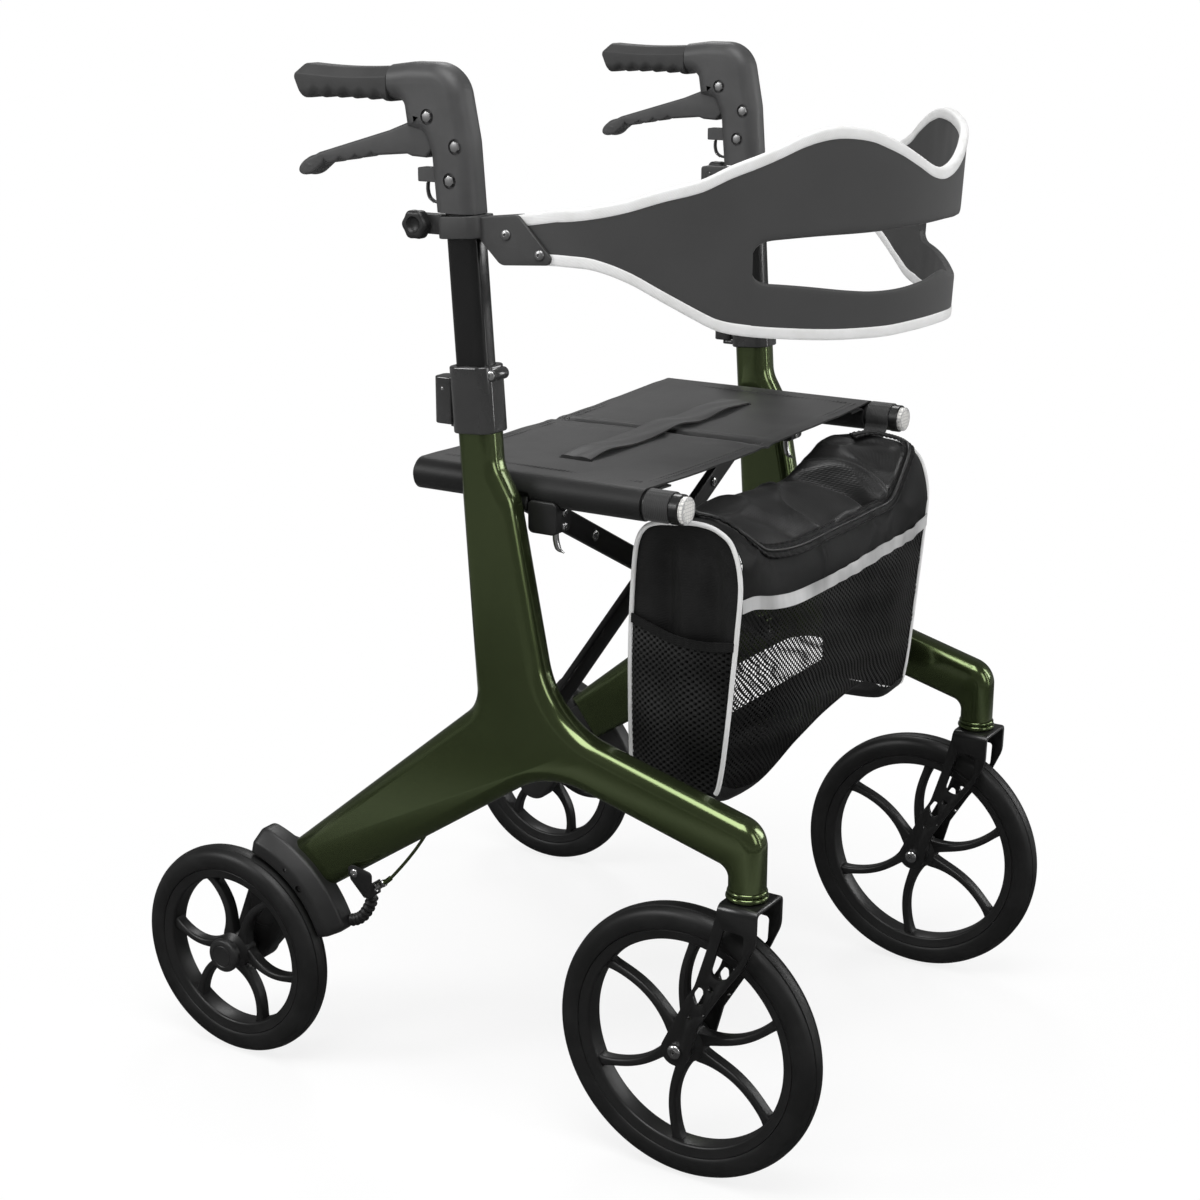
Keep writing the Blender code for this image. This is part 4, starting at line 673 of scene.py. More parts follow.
def postBore(name, side, low, high, spare=0.0, size=innerPost):
    # a square bar along the post, as big as the inner post or a given size, with some room around it
    width, depth = size
    place = onPost(side, (low + high) / 2)
    return block(name, width + 2 * spare, depth + 2 * spare, 0.007, (high - low) / math.cos(postLean),
                 place, leaning)


def sideLine(points):
    # (ahead of the rear axle, height) pairs as places in the side view
    return [(ahead(distance), z) for distance, z in points]


def boltHead(name, radius, depth, place, turn, socket=0.45):
    # a domed head with a round socket
    rim = 0.35
    profile = [(0, 0), (radius, 0), (radius, depth * rim)]
    for i in range(1, 7):
        t = math.radians(12 * i)
        profile.append((radius * math.cos(t), depth * (rim + 0.65 * math.sin(t))))
    top = profile[-1][1]
    hole = radius * socket
    profile += [(hole * 1.15, top), (hole, top - depth * 0.1), (hole, top - depth * 0.5),
                (0, top - depth * 0.5)]
    return turned(name, profile, place, turn, 24, angle=30)


def hexHead(name, radius, depth, place, turn):
    # a flat six-sided head with rounded rims
    head = slab(name, [arc((0, 0), radius, 12, 312, 5)], depth, place, turn, depth * 0.22, 2)
    head.name = name
    return smooth(head, 28)


def facing(side):
    # turns a piece's +Z to the outside of that side
    return (0, side * math.pi / 2, 0)


# side frames

sideFrame = {
    "thickness": 0.030, "edge": 0.012, "postDepth": 0.036, "shoulderTop": 0.605, "shoulderBottom": 0.577,
    "shoulderReach": 0.0325, "frontLean": 11.0, "stubRadius": 0.015, "stubBottom": 0.279, "legTop": 0.334,
    "legDepth": 0.047, "legSlope": 15.3, "rearEnd": (0.069, 0.194), "rearAngle": 36.6, "rearTaper": 2.9,
    "rearDepth": 0.0535, "postTop": 0.650, "boreBottom": 0.452, "mortise": (0.0186, 0.0327),
    "cableMouth": (0.2045, 0.2550), "eye": 0.0105, "ear": 0.005, "earGap": 0.0069, "boltGap": 0.0094,
}


def legEnd(along=0.0, across=0.0):
    turn = math.radians(sideFrame["rearAngle"])
    run = Vector((-math.cos(turn), math.sin(turn)))
    middle = Vector((ahead(sideFrame["rearEnd"][0]), sideFrame["rearEnd"][1]))
    return middle + run * along + Vector((run.y, -run.x)) * across


def frameOutline():
    f = sideFrame
    half = f["postDepth"] / 2
    upright = math.pi / 2 - postLean
    rearLine = (postY(0.625) + half, 0.625)
    frontLine = (postY(0.625) - half, 0.625)
    shoulder = (postY(f["shoulderBottom"]) - f["shoulderReach"], f["shoulderBottom"])
    slope = math.radians(f["legSlope"])
    stubFront, stubBack = stemY - f["stubRadius"], stemY + f["stubRadius"]
    stubEnd = f["stubBottom"] - f["edge"]
    legTop = (stubFront, f["legTop"])
    legUnder = (stubFront, f["legTop"] - f["legDepth"])
    endTop, endBottom = legEnd(0, f["rearDepth"] / 2), legEnd(0, -f["rearDepth"] / 2)
    rearTurn, taper = math.radians(f["rearAngle"]), math.radians(f["rearTaper"])
    valley = meet(shoulder, math.radians(90 - f["frontLean"]), legTop, slope)
    arch = meet(legUnder, slope, endBottom, taper - rearTurn)
    crotch = meet(rearLine, upright, endTop, -taper - rearTurn)
    corners = ((rearLine, f["postTop"]), (frontLine, f["postTop"]), (frontLine, f["shoulderTop"]))
    tops = [meet(line, upright, (0, z), 0) for line, z in corners]
    heel = meet(legUnder, slope, (stubBack, 0), math.pi / 2)
    return [(*tops[1], 0), (*tops[2], 0.030), (*shoulder, 0.030), (*valley, 0.080), (*legTop, 0.025),
            (stubFront, stubEnd, 0), (stubBack, stubEnd, 0), (*heel, 0.010), (*arch, 0.085),
            (*endBottom, 0), (*endTop, 0), (*crotch, 0.030), (*tops[0], 0)]


legTurn = (math.pi / 2 - math.radians(sideFrame["rearAngle"]), 0, 0)


def makeSideFrame(side):
    word = sideWord(side)
    body = word + "_side"
    f = sideFrame
    x = side * frameX
    shell = sideSlab(word + "FrameShell", rounded(frameOutline(), 18), f["thickness"], x, f["edge"], 6)
    below = block("below", 0.06, 0.024, 0.001, 0.06, (x, stemY, f["stubBottom"] - 0.012))
    bore = postBore("bore", side, f["boreBottom"], f["postTop"] + 0.02, 0.0004)
    stem = rod("stemHole", 0.0065, 0.056, (x, stemY, 0.297))
    mortise = block("mortise", *f["mortise"], 0.001, 0.031, (x, *legEnd(0.0055)), legTurn)
    mouthY, mouthZ = f["cableMouth"]
    mouthTurn = (math.atan2(0.0065, 0.0090), 0, 0)
    mouth = slab("mouth", [circle((0, 0), 0.0025, 20)], 0.026, (x, ahead(mouthY), mouthZ), mouthTurn)
    shell = carve(shell, below, bore, stem, mortise, mouth)
    dress(smooth(shell, 32), green, body, (body + "_frame",))

    earY = crossY - side * cross["spacing"] / 2
    root = frameX - 0.0152
    for end, part in ((right, "Front"), (left, "Back")):
        eye = arc((side * pivotX, pivotZ), f["eye"], 90, 90 + side * 180, 20)
        outline = eye + [(side * root, pivotZ - f["eye"]), (side * root, pivotZ + f["eye"])]
        place = (0, earY + end * f["earGap"], 0)
        ear = slab(word + "PivotEar" + part, [outline], f["ear"], place, uprightXZ, 0.0008, 2)
        dress(ear, blackMetal, body)
        spot = (side * pivotX, earY + end * f["boltGap"], pivotZ)
        bolt = boltHead(word + "PivotBolt" + part, 0.0065, 0.0026, spot, (-end * math.pi / 2, 0, 0))
        dress(bolt, steel, body)
    dress(rod(word + "PivotPin", 0.0037, 0.018, (side * pivotX, earY, pivotZ), alongY), darkSteel, body)
    plugAt = (side * (frameX + 0.0148), *legEnd(0.009, -0.010))
    dress(boltHead(word + "LegPlug", 0.0046, 0.0022, plugAt, facing(side)), blackMetal, body)

    low, high = 0.2698, 0.2787
    beads = [(0.0065, high), (0.0150, high)] + arc((0.0150, 0.27655), 0.0021, 90, -75, 10)
    beads += [(0.0154, 0.2742)] + arc((0.0158, 0.2722), 0.0024, 75, -90, 10) + [(0.0065, low)]
    ring = turned(word + "CollarRing", beads, (x, stemY, 0), steps=64, closed=True, angle=45)
    dress(ring, green, body, (word + "_caster_collar",))


# wheels

# bead: in from the tyre's side and out from the rim's seat; tread: in from the side and from the tread
wheels = {
    "spokes": 6, "bow": 0.0085, "spokeWidth": 0.0085, "spokeDepth": 0.0125, "band": 0.0095,
    "rimWidth": 0.0236, "hub": 0.0175, "tyreDepth": 0.0205, "tyreWidth": 0.028,
    "hubWidth": {"front": 0.039, "rear": 0.036}, "turn": {"front": 25.5, "rear": 51.0}, "cap": 0.0165,
    "bead": [(0.0022, 0), (0.0016, 0.0006), (0.0008, 0.0030), (0, 0.0078), (0.0004, 0.0118)],
    "tread": [(0.0016, 0.0052), (0.0036, 0.0030), (0.0066, 0.0014), (0.0074, 0.0011), (0.0079, 0.0019),
              (0.0084, 0.0019), (0.0089, 0.0007), (0.0115, 0.0001)],
}


def spokeBlade(centre, start, bow, outer):
    # a curved blade that flares into the hub and the rim
    w = wheels
    inner = w["hub"] - 0.0018

    def spot(share):
        radius = inner + (outer - inner) * share
        turn = math.radians(start) + bow * math.sin(math.pi * min(max(share, 0), 1)) / radius
        return Vector((0, -radius * math.cos(turn), radius * math.sin(turn)))

    rings = []
    for i in range(33):
        share = i / 32
        along = (spot(share + 0.01) - spot(share - 0.01)).normalized()
        across = Vector((0, -along.z, along.y))
        flare = 0.85 * math.exp(-share * 7) + 0.60 * math.exp((share - 1) * 16)
        section = boxOutline(w["spokeWidth"] * (0.84 + flare), w["spokeDepth"], 0.0026, 5)
        rings.append([Vector(centre) + spot(share) + across * u + Vector((v, 0, 0)) for u, v in section])
    return loft("spoke", rings, angle=50)


def makeWheel(side, end, x, axle, bow):
    word = sideWord(side)
    w = wheels
    radius, start = axle[1], w["turn"][end]
    centre = (side * x, *axle)
    body = f"{word}_{end}_wheel"
    name = word + end.capitalize()
    bandOuter = radius - w["tyreDepth"] - gap
    bandInner = bandOuter - w["band"]
    blades = []
    for k in range(w["spokes"]):
        blades.append(spokeBlade(centre, start + k * 60, bow if k % 2 == 0 else -bow, bandInner + 0.0025))
    spokes = joined(name + "Spokes", *blades)
    half = w["rimWidth"] / 2
    trim, lip, corner = 0.0003, 0.0045, 0.0028
    section = [(bandOuter, half - trim), (bandOuter, -half + trim), (bandOuter - trim, -half)]
    section += arc((bandInner + corner, -half + lip), corner, 270, 180, 6)
    section += [(bandInner - 0.0004, -0.003), (bandInner - 0.0004, 0.003)]
    section += arc((bandInner + corner, half - lip), corner, 180, 90, 6) + [(bandOuter - trim, half)]
    ring = turned("band", section, centre, alongX, 128, closed=True, angle=30)
    h = w["hubWidth"][end] / 2
    hub = [(0.0043, h), (0.0098, h), (0.0110, h - 0.001), (0.0118, 0.0105), (0.0150, 0.0085),
           (w["hub"], 0.0065)]
    core = turned("hub", hub + [(r, -z) for r, z in hub[::-1]], centre, alongX, 64, closed=True, angle=30)
    rim = carve(spokes, ring, core, operation="UNION")
    rim.name = name + "Rim"
    dress(smooth(rim, 32), rimPlastic, body, (f"{word}_{end}_rim",))

    seat = radius - w["tyreDepth"]
    t = w["tyreWidth"] / 2
    flank = [(seat + out, t - back) for back, out in w["bead"]]
    flank += [(radius - out, t - back) for back, out in w["tread"]]
    profile = [(seat, 0)] + flank + [(radius, 0)] + [(r, -z) for r, z in flank[::-1]]
    tyre = turned(name + "Tyre", profile, centre, alongX, 160, closed=True, angle=48)
    dress(tyre, rubber, body, (f"{word}_{end}_tyre",))


def makeFrontWheel(side):
    word = sideWord(side)
    x = side * frameX
    makeWheel(side, "front", frameX, frontAxle, -wheels["bow"])
    bolt = rod(word + "AxleBar", 0.004, 0.0490, (x, *frontAxle), alongX)
    dress(bolt, darkSteel, word + "_caster", (word + "_front_axle",))
    for end, part in ((right, "Right"), (left, "Left")):
        spot = (x + end * (fork["half"] + gap), *frontAxle)
        bolt = boltHead(word + "AxleHead" + part, 0.0064, 0.0040, spot, facing(end), 0.5)
        dress(bolt, steel, word + "_caster")


def makeRearWheel(side):
    word = sideWord(side)
    makeWheel(side, "rear", wheelX, rearAxle, wheels["bow"])
    face = wheelX + wheels["hubWidth"]["rear"] / 2 + gap
    rim, corner = wheels["cap"], 0.0028
    profile = [(0, 0), (rim, 0), (rim, 0.0012)] + arc((rim - corner, 0.0022), corner, 0, 80, 8)
    profile += [(0.0112, 0.0052), (0.0104, 0.0046), (0.0098, 0.0050), (0.0050, 0.0044), (0, 0.0042)]
    cap = turned(word + "HubCap", profile, (side * face, *rearAxle), facing(side), 64, angle=40)
    dress(cap, moulded, word + "_rear_wheel", (word + "_rear_hub_cap",))


# casters

fork = {
    "top": 0.2695, "half": 0.0243, "plate": 0.0038, "bend": 0.0070, "edge": 0.0006, "tip": 0.0135,
    "frontEdge": [(0.0150, 0, 0), (-0.0210, 0, 0.003), (-0.0205, 0.0290, 0.030), (-0.0105, 0.0515, 0.020),
                  (0.0140, 0.0870, 0.060)],
    "rearEdge": [(0.0500, 0.1000, 0), (0.0361, 0.0820, 0.040), (0.0240, 0.0430, 0.080),
                 (0.0155, 0.0080, 0.030), (0.0150, 0, 0)],
    "window": [(0.0088, 0.0215, 0.002), (-0.0102, 0.0225, 0.003), (-0.0092, 0.0440, 0.008),
               (0.0085, 0.0695, 0.008), (0.0212, 0.0655, 0.006)],
    "slot": [(0.0272, 0.0730, 0.003), (0.0262, 0.0930, 0.004), (0.0330, 0.0985, 0.003),
             (0.0372, 0.0875, 0.005)],
    "holes": ((0.0200, 0.0783, 0.0030), (0.0400, 0.1090, 0.0022), (0.0262, 0.1040, 0.0016)),
}


def onFork(corners):
    # corners are (behind the stem, down from the crown, radius)
    return [(stemY + behind, fork["top"] - drop, radius) for behind, drop, radius in corners]


def forkOutline():
    eyeY, eyeZ = frontAxle
    front = rounded(onFork(fork["frontEdge"]) + [(eyeY - 0.0210, eyeZ + 0.0270, 0)], 8)
    rear = rounded(onFork(fork["rearEdge"]), 8)
    return front[1:] + arc(frontAxle, fork["tip"], 205, 390, 26) + rear[1:]


def makeCaster(side):
    word = sideWord(side)
    body = word + "_caster"
    f = fork
    top, half, wall = f["top"], f["half"], f["plate"]
    x = side * frameX
    low = 0.105
    bend = f["bend"]
    outer = rounded([(-half, low, 0), (-half, top, bend), (half, top, bend), (half, low, 0)], 8)
    thin, roof, bend = half - wall, top - wall, bend - wall
    inner = rounded([(thin, low, 0), (thin, roof, bend), (-thin, roof, bend), (-thin, low, 0)], 8)
    channel = slab(word + "Fork", [outer + inner], 0.16, (x, stemY + 0.03, 0), uprightXZ)
    channel = carve(channel, sideSlab("shape", forkOutline(), 0.07, x), operation="INTERSECT")
    tools = [sideSlab(which, rounded(onFork(f[which]), 8), 0.07, x) for which in ("window", "slot")]
    for behind, drop, radius in f["holes"]:
        tools.append(sideSlab("hole", circle((stemY + behind, top - drop), radius, 24), 0.07, x))
    tools.append(rod("axleHole", 0.0043, 0.08, (x, *frontAxle), alongX, 32))
    channel = softEdges(carve(channel, *tools), f["edge"], 2, 40)
    dress(channel, blackMetal, body, (word + "_fork",))
    stem = rod(word + "CasterStem", 0.0062, 0.0535, (x, stemY, 0.2953))
    dress(stem, darkSteel, body)


# brakes on the rear wheels

brake = {
    "hoodInner": 0.1065, "hoodOuter": 0.1310, "hoodStart": 19.0, "hoodEnd": 78.0, "face": 0.2770,
    "inside": 0.2450, "pocket": (0.0990, 0.1187, 25.5, 64), "socket": (0.1127, 45), "screw": (0.1150, 56),
    "plate": 0.0205, "plateX": 0.24575, "lobe": (0.048, 70), "shoe": (0.1064, 0.1149, 29, 60),
    "shoeWidth": 0.0125, "shoePin": (0.11065, 60), "cableX": 0.2515, "ribs": 8, "bellows": 0.0060,
    "boot": [(0.1468, 0.1835), (0.1445, 0.1755), (0.1400, 0.1670), (0.1342, 0.1597), (0.1275, 0.1552)],
    "holder": [(0.1255, 0.2105, 0.005), (0.1290, 0.1990, 0.003), (0.1440, 0.1840, 0.002),
               (0.1525, 0.1850, 0.002), (0.1530, 0.2095, 0.004), (0.1320, 0.2140, 0.006)],
    "cable": [(0.2110, 0.2640, 0), (0.2045, 0.2550, 0), (0.1950, 0.2400, 0.25), (0.1850, 0.2260, 0.55),
              (0.1750, 0.2135, 0.8), (0.1680, 0.2055, 0.95), (0.1626, 0.2007, 1.0)],
}


def sector(name, inner, outer, start, end, near, far, side, edge=0.0, rounds=4):
    outline = [aroundRear(outer, start + (end - start) * i / 40) for i in range(41)]
    outline += [aroundRear(inner, end + (start - end) * i / 40) for i in range(41)]
    return sideSlab(name, outline, far - near, side * (near + far) / 2, edge, rounds)


def makeHood(side):
    # a cover around the rear wheel's top, its outer corner rounded and its ends drawn in
    b = brake
    inner, outer, near, far = b["hoodInner"], b["hoodOuter"], b["inside"] + 0.002, b["face"]
    cut = 0.0115
    section = rounded([(near, inner, 0.0015), (far, inner, 0.0020), (far, outer - cut, 0.0050),
                       (far - cut, outer, 0.0060), (near, outer, 0.0040)], 6)
    rings = []
    for i in range(61):
        share = i / 60
        degrees = b["hoodStart"] + (b["hoodEnd"] - b["hoodStart"]) * share
        fit = min(share, 1 - share) / 0.07
        squeeze = 1 - 0.30 * (1 - math.sqrt(1 - (1 - min(fit, 1)) ** 2))
        ring = []
        for x, radius in section:
            y, z = aroundRear(inner + (radius - inner) * squeeze, degrees)
            ring.append((side * (near + (x - near) * (0.5 + 0.5 * squeeze)), y, z))
        rings.append(ring)
    return loft(sideWord(side) + "BrakeHood", rings, angle=34)


def makeBrake(side):
    word = sideWord(side)
    body = word + "_side"
    b = brake
    face = side * b["face"]
    shoeX = wheelX - wheels["tyreWidth"] / 2 + b["shoeWidth"] / 2 + 0.001
    hood = makeHood(side)
    pocket = sector("pocket", *b["pocket"], shoeX - 0.0070, shoeX + 0.0075, side)
    socket, screwAt = aroundRear(*b["socket"]), aroundRear(*b["screw"])
    hole = sideSlab("hole", circle(socket, 0.0036, 28), 0.012, face)
    dent = sideSlab("dent", circle(screwAt, 0.0021, 20), 0.004, face)
    hood = carve(hood, pocket, hole, dent)
    dress(smooth(hood, 34), moulded, body, (word + "_brake_bracket",))
    screwX = side * (b["face"] - 0.0019)
    screw = boltHead(word + "HoodScrew", 0.0019, 0.0010, (screwX, *screwAt), facing(side))
    dress(screw, steel, body)
    socketX = side * (b["face"] - 0.0036)
    bolt = boltHead(word + "HoodSocket", 0.0030, 0.0020, (socketX, *socket), facing(side), 0.55)
    dress(bolt, darkSteel, body)

    half = sideFrame["rearDepth"] / 2
    ends = [tuple(legEnd(-0.0006, across)) for across in (half, -half)]
    outline = ends + arc(rearAxle, 0.0210, 200, 385, 40)
    outline += [aroundRear(0.0900, 82), aroundRear(0.1180, 76)]
    plate = sideSlab(word + "BrakePlate", outline, b["plate"], side * b["plateX"], 0.0035, 4)
    tongue = block("tongue", 0.018, 0.0321, 0.001, 0.031, (side * frameX, *legEnd(0.004)), legTurn)
    lobeAt = (side * 0.2512, *aroundRear(*b["lobe"]))
    lobe = block("lobe", 0.030, 0.052, 0.012, 0.012, lobeAt, uprightYZ, 0.003, 3)
    plate = carve(plate, tongue, lobe, operation="UNION")
    dress(smooth(plate, 34), moulded, body)
    dress(rod(word + "StubAxle", 0.004, 0.0475, (side * 0.26875, *rearAxle), alongX), darkSteel, body)

    half = b["shoeWidth"] / 2
    x, pinAt = side * shoeX, aroundRear(*b["shoePin"])
    shoe = sector(word + "Shoe", *b["shoe"], shoeX - half, shoeX + half, side, 0.0006, 2)
    hub = sideSlab("hub", circle(pinAt, 0.00425, 32), b["shoeWidth"], x)
    shoe = carve(carve(shoe, hub, operation="UNION"), sideSlab("bore", circle(pinAt, 0.0021, 24), 0.03, x))
    dress(smooth(shoe, 34), rubber, word + "_shoe", (word + "_brake_shoe",))
    dress(sideSlab(word + "ShoePin", circle(pinAt, 0.0018, 24), 0.0150, x), darkSteel, body)


def routeAt(side, points, x=brake["cableX"]):
    return [(side * x, ahead(distance), z) for distance, z in points]


def makeAdjuster(side):
    # a knurled barrel that leans along the cable
    start, end = Vector((0.1480, 0.1900)), Vector((0.1618, 0.2000))
    middle = (start + end) / 2
    tilt = (math.atan2(end.x - start.x, end.y - start.y), 0, 0)
    half = (end - start).length / 2
    wide, narrow = 0.0040, 0.0031
    profile = [(0.0015, -half), (wide, -half), (wide, -half + 0.0045), (narrow, -half + 0.0048)]
    for k in range(6):
        level = -half + 0.0050 + k * 0.0012
        profile += [(narrow, level), (0.0028, level + 0.0006)]
    profile += [(0.0034, half - 0.0040), (0.0034, half - 0.0006), (0.0028, half), (0.0015, half)]
    place = (side * brake["cableX"], ahead(middle.x), middle.y)
    barrel = turned(sideWord(side) + "Adjuster", profile, place, tilt, 32, closed=True, angle=28)
    dress(barrel, steel, sideWord(side) + "_side")


def makeBoot(side):
    # a ribbed boot with the wire through it
    word = sideWord(side)
    body = word + "_side"
    b = brake
    count = b["ribs"] * 14 + 1
    line = smoothLine(routeAt(side, b["boot"] + [(0.1208, 0.1525)]), count)
    radii = [0.86 - 0.14 * math.cos(2 * math.pi * i * b["ribs"] / (count - 1)) for i in range(count)]
    bellows = tube(word + "BellowsBoot", line, b["bellows"], 28, radii, angle=60)
    start, end = line[0] - (line[2] - line[0]), line[-1] + (line[-1] - line[-3])
    tunnel = tube("tunnel", [start, *line[::8], end], 0.0022, 16)
    dress(smooth(carve(bellows, tunnel), 60), rubber, body, (word + "_bellows",))
    wire = smoothLine(routeAt(side, [(0.1490, 0.1906)] + b["boot"] + [(0.1190, 0.1520)]), 40)
    dress(tube(word + "BrakeWire", wire, 0.0008, 10), darkSteel, body)


def makeBrakeCable(side):
    word = sideWord(side)
    body = word + "_side"
    b = brake
    face = frameX + 0.015 + gap
    wall = 0.0020
    plate = rounded([(ahead(d), z, radius) for d, z, radius in b["holder"]], 8)
    holder = sideSlab(word + "CablePlate", plate, wall, side * (face + 0.001), 0.0004, 2)
    width = face + 0.008 - b["cableX"]
    flangeAt = (side * (face + wall - width / 2), ahead(0.1510), 0.1920)
    flange = block("flange", wall, 0.0130, 0.0006, width, flangeAt, uprightYZ, 0.0003, 2)
    holder = carve(holder, flange, operation="UNION")
    dress(smooth(holder, 34), blackMetal, body, (word + "_cable_bracket",))
    rivetAt = (side * (face + wall), ahead(0.1338), 0.2062)
    dress(boltHead(word + "CableRivet", 0.0042, 0.0021, rivetAt, facing(side), 0.3), steel, body)
    makeAdjuster(side)
    makeBoot(side)

    # the share is how far the cable has come out from the side frame
    route = [(side * (frameX + (b["cableX"] - frameX) * share), ahead(d), z) for d, z, share in b["cable"]]
    cable = tube(word + "BrakeCable", smoothLine(route, 48), 0.0015, 14)
    dress(cable, cableGreen, body, (word + "_lower_cable",))
    ferrule = routeAt(side, [(0.1619, 0.2001), (0.1650, 0.2028), (0.1680, 0.2055)], b["cableX"] - 0.0002)
    dress(tube(word + "CableFerrule", smoothLine(ferrule, 10), 0.0024, 20), cableGreen, body)
    x = side * 0.2560
    tail = smoothLine([(x, 0.1660, 0.1385), (x, 0.1611, 0.1349), (x, 0.1553, 0.1312)], 10)
    dress(tube(word + "WireEnd", tail, 0.0008, 8), steel, body)


# height clamps and inner posts

clamp = {
    "low": 0.632, "high": 0.688, "width": 0.034, "depth": 0.041, "lever": 0.018, "leverHeight": 0.040,
    "eye": 0.0040, "post": (0.556, 0.862), "outer": (0.030, 0.036), "near": -0.0048,
}


def clampCollar(side, hinge, screwAt):
    c = clamp
    middle = onPost(side, (c["low"] + c["high"]) / 2)
    name = sideWord(side) + "Clamp"
    outline = boxOutline(c["width"], c["depth"], 0.011, 12)
    collar = slab(name, [outline], c["high"] - c["low"], middle, leaning, 0.0014, 4)
    extras = []
    for end in (right, left):
        ear = arc((hinge.x, hinge.y), c["eye"], 0, 180, 16)
        ear += [(hinge.x - c["eye"], hinge.y - 0.0095), (hinge.x + c["eye"], hinge.y - 0.0095)]
        level = hinge.z + end * (c["leverHeight"] / 2 + 0.0020)
        extras.append(slab("ear", [ear], 0.0032, (0, 0, level), (0, 0, 0), 0.0005, 2))
    extras.append(slab("lug", [circle((0, 0), 0.0052, 28)], 0.020, screwAt, alongX, 0.0008, 2))
    collar = carve(collar, *extras, operation="UNION")
    lower = postBore("bore", side, c["low"] - 0.01, 0.652, gap, c["outer"])
    return carve(collar, lower, postBore("bore", side, 0.640, c["high"] + 0.01, 0.0004))


def clampLever(side, hinge):
    c = clamp
    near, far = c["near"], c["lever"] + c["near"]
    corners = [(near, near, 0.0047), (far, near, 0.002), (far, far, 0.005), (near, far, 0.005)]
    outline = [(hinge.x + side * u, hinge.y + v) for u, v in rounded(corners, 8)]
    hole = circle((hinge.x, hinge.y), 0.0020, 20)
    name = sideWord(side) + "ClampLever"
    lever = slab(name, [outline, hole], c["leverHeight"], (0, 0, hinge.z), (0, 0, 0), 0.0012, 3)
    scoopAt = (hinge.x + side * 0.006, hinge.y + 0.0142, hinge.z - 0.010)
    return carve(lever, block("scoop", 0.020, 0.0035, 0.0012, 0.03, scoopAt, (0, 0, 0)))


def makeClamp(side):
    word = sideWord(side)
    body = word + "_side"
    c = clamp
    post = softEdges(postBore(word + "InnerPost", side, *c["post"]), 0.0004, 1)
    dress(post, postGloss, word + "_handle", (word + "_inner_post",))
    leverZ = (c["low"] + c["high"]) / 2 - 0.004
    hingeY = postY(leverZ + c["leverHeight"] / 2) + c["depth"] / 2 + 0.0056
    hinge = Vector((side * (frameX - 0.005), hingeY, leverZ))
    screwAt = onPost(side, c["high"] - 0.006) + Vector((0, -c["depth"] / 2 - 0.0005, 0))
    collar = clampCollar(side, hinge, screwAt)
    dress(smooth(collar, 34), clampGloss, body, (word + "_height_clamp",))
    for end, part in ((right, "Right"), (left, "Left")):
        spot = screwAt + Vector((end * 0.0099, 0, 0))
        dress(boltHead(word + "ClampScrew" + part, 0.0040, 0.0016, spot, facing(end), 0.5), steel, body)
    dress(rod(word + "ClampPin", 0.0016, c["leverHeight"] + 0.0065, hinge), darkSteel, body)
    lever = clampLever(side, hinge)
    dress(smooth(lever, 34), clampGloss, word + "_paddle", (word + "_clamp_lever",))
    spot = (hinge.x + side * 0.0128, hinge.y + 0.0040, hinge.z + 0.010)
    dress(boltHead(word + "ClampDot", 0.0016, 0.0006, spot, facing(side), 0.3), steel, word + "_paddle")


# handles

handle = {
    "thickness": 0.031, "edge": 0.0125, "bottom": 0.8125, "top": 0.9312, "axis": 0.9135, "gripStart": 0.193,
    "gripEnd": 0.0975, "gripWidth": 0.032, "scallops": 5, "scallopStart": 0.1900, "scallopPitch": 0.0160,
    "scallopDepth": 0.0031, "pivot": (0.2336, 0.8886), "slot": 0.0212, "recess": 0.0064, "boltRadius": 0.0046,
    "bolts": ((0.2336, 0.8886), (0.2606, 0.8658), (0.2547, 0.8385)),
    "slotLine": [(0.2478, 0.8700), (0.2393, 0.8638), (0.2386, 0.8485), (0.1950, 0.8485), (0.1950, 0.8980),
                 (0.2420, 0.9005), (0.2478, 0.8960)],
    "cable": [(0.2228, 0.8352), (0.2226, 0.8290), (0.2245, 0.8230), (0.2295, 0.8195), (0.2373, 0.8190)],
    "leverTop": [(0.2105, 0.8835), (0.1900, 0.8760), (0.1163, 0.8550)], "leverTip": (0.1060, 0.8436),
    "hollows": ((0.1215, 0.8468), (0.1800, 0.8567)),
    "leverHeel": [(0.2078, 0.8577), (0.2130, 0.8560), (0.2271, 0.8554), (0.2340, 0.8620)],
}


def housingOutline():
    h = handle
    neck, low = h["gripStart"] - h["edge"], h["bottom"] - h["edge"]
    corners = [(0.2774, low, 0), (0.2373, low, 0), (0.2320, 0.8600, 0.020), (0.2250, 0.8752, 0.005),
               (0.2085, 0.8782, 0.005), (0.2050, 0.9010, 0.007), (neck, 0.9010, 0), (neck, 0.9270, 0),
               (0.2150, h["top"], 0.030), (0.2600, h["top"], 0.030), (0.2720, 0.8700, 0.060)]
    return rounded([(ahead(d), z, radius) for d, z, radius in corners], 14)


def gripBottom(distance):
    # the finger hollows lie nearer the housing
    h = handle
    level = 0.8990 + 0.0012 * math.sin(math.pi * (h["gripStart"] - distance)
                                       / (h["gripStart"] - h["gripEnd"]))
    phase = (h["scallopStart"] - distance) / h["scallopPitch"]
    if 0 < phase < h["scallops"]:
        level += h["scallopDepth"] * math.sin(math.pi * (phase % 1)) ** 2
    return level


def gripTop(distance):
    share = (handle["gripStart"] - distance) / (handle["gripStart"] - handle["gripEnd"])
    return 0.9272 - 0.0016 * math.sin(math.pi * share) + 0.0009 * share ** 2


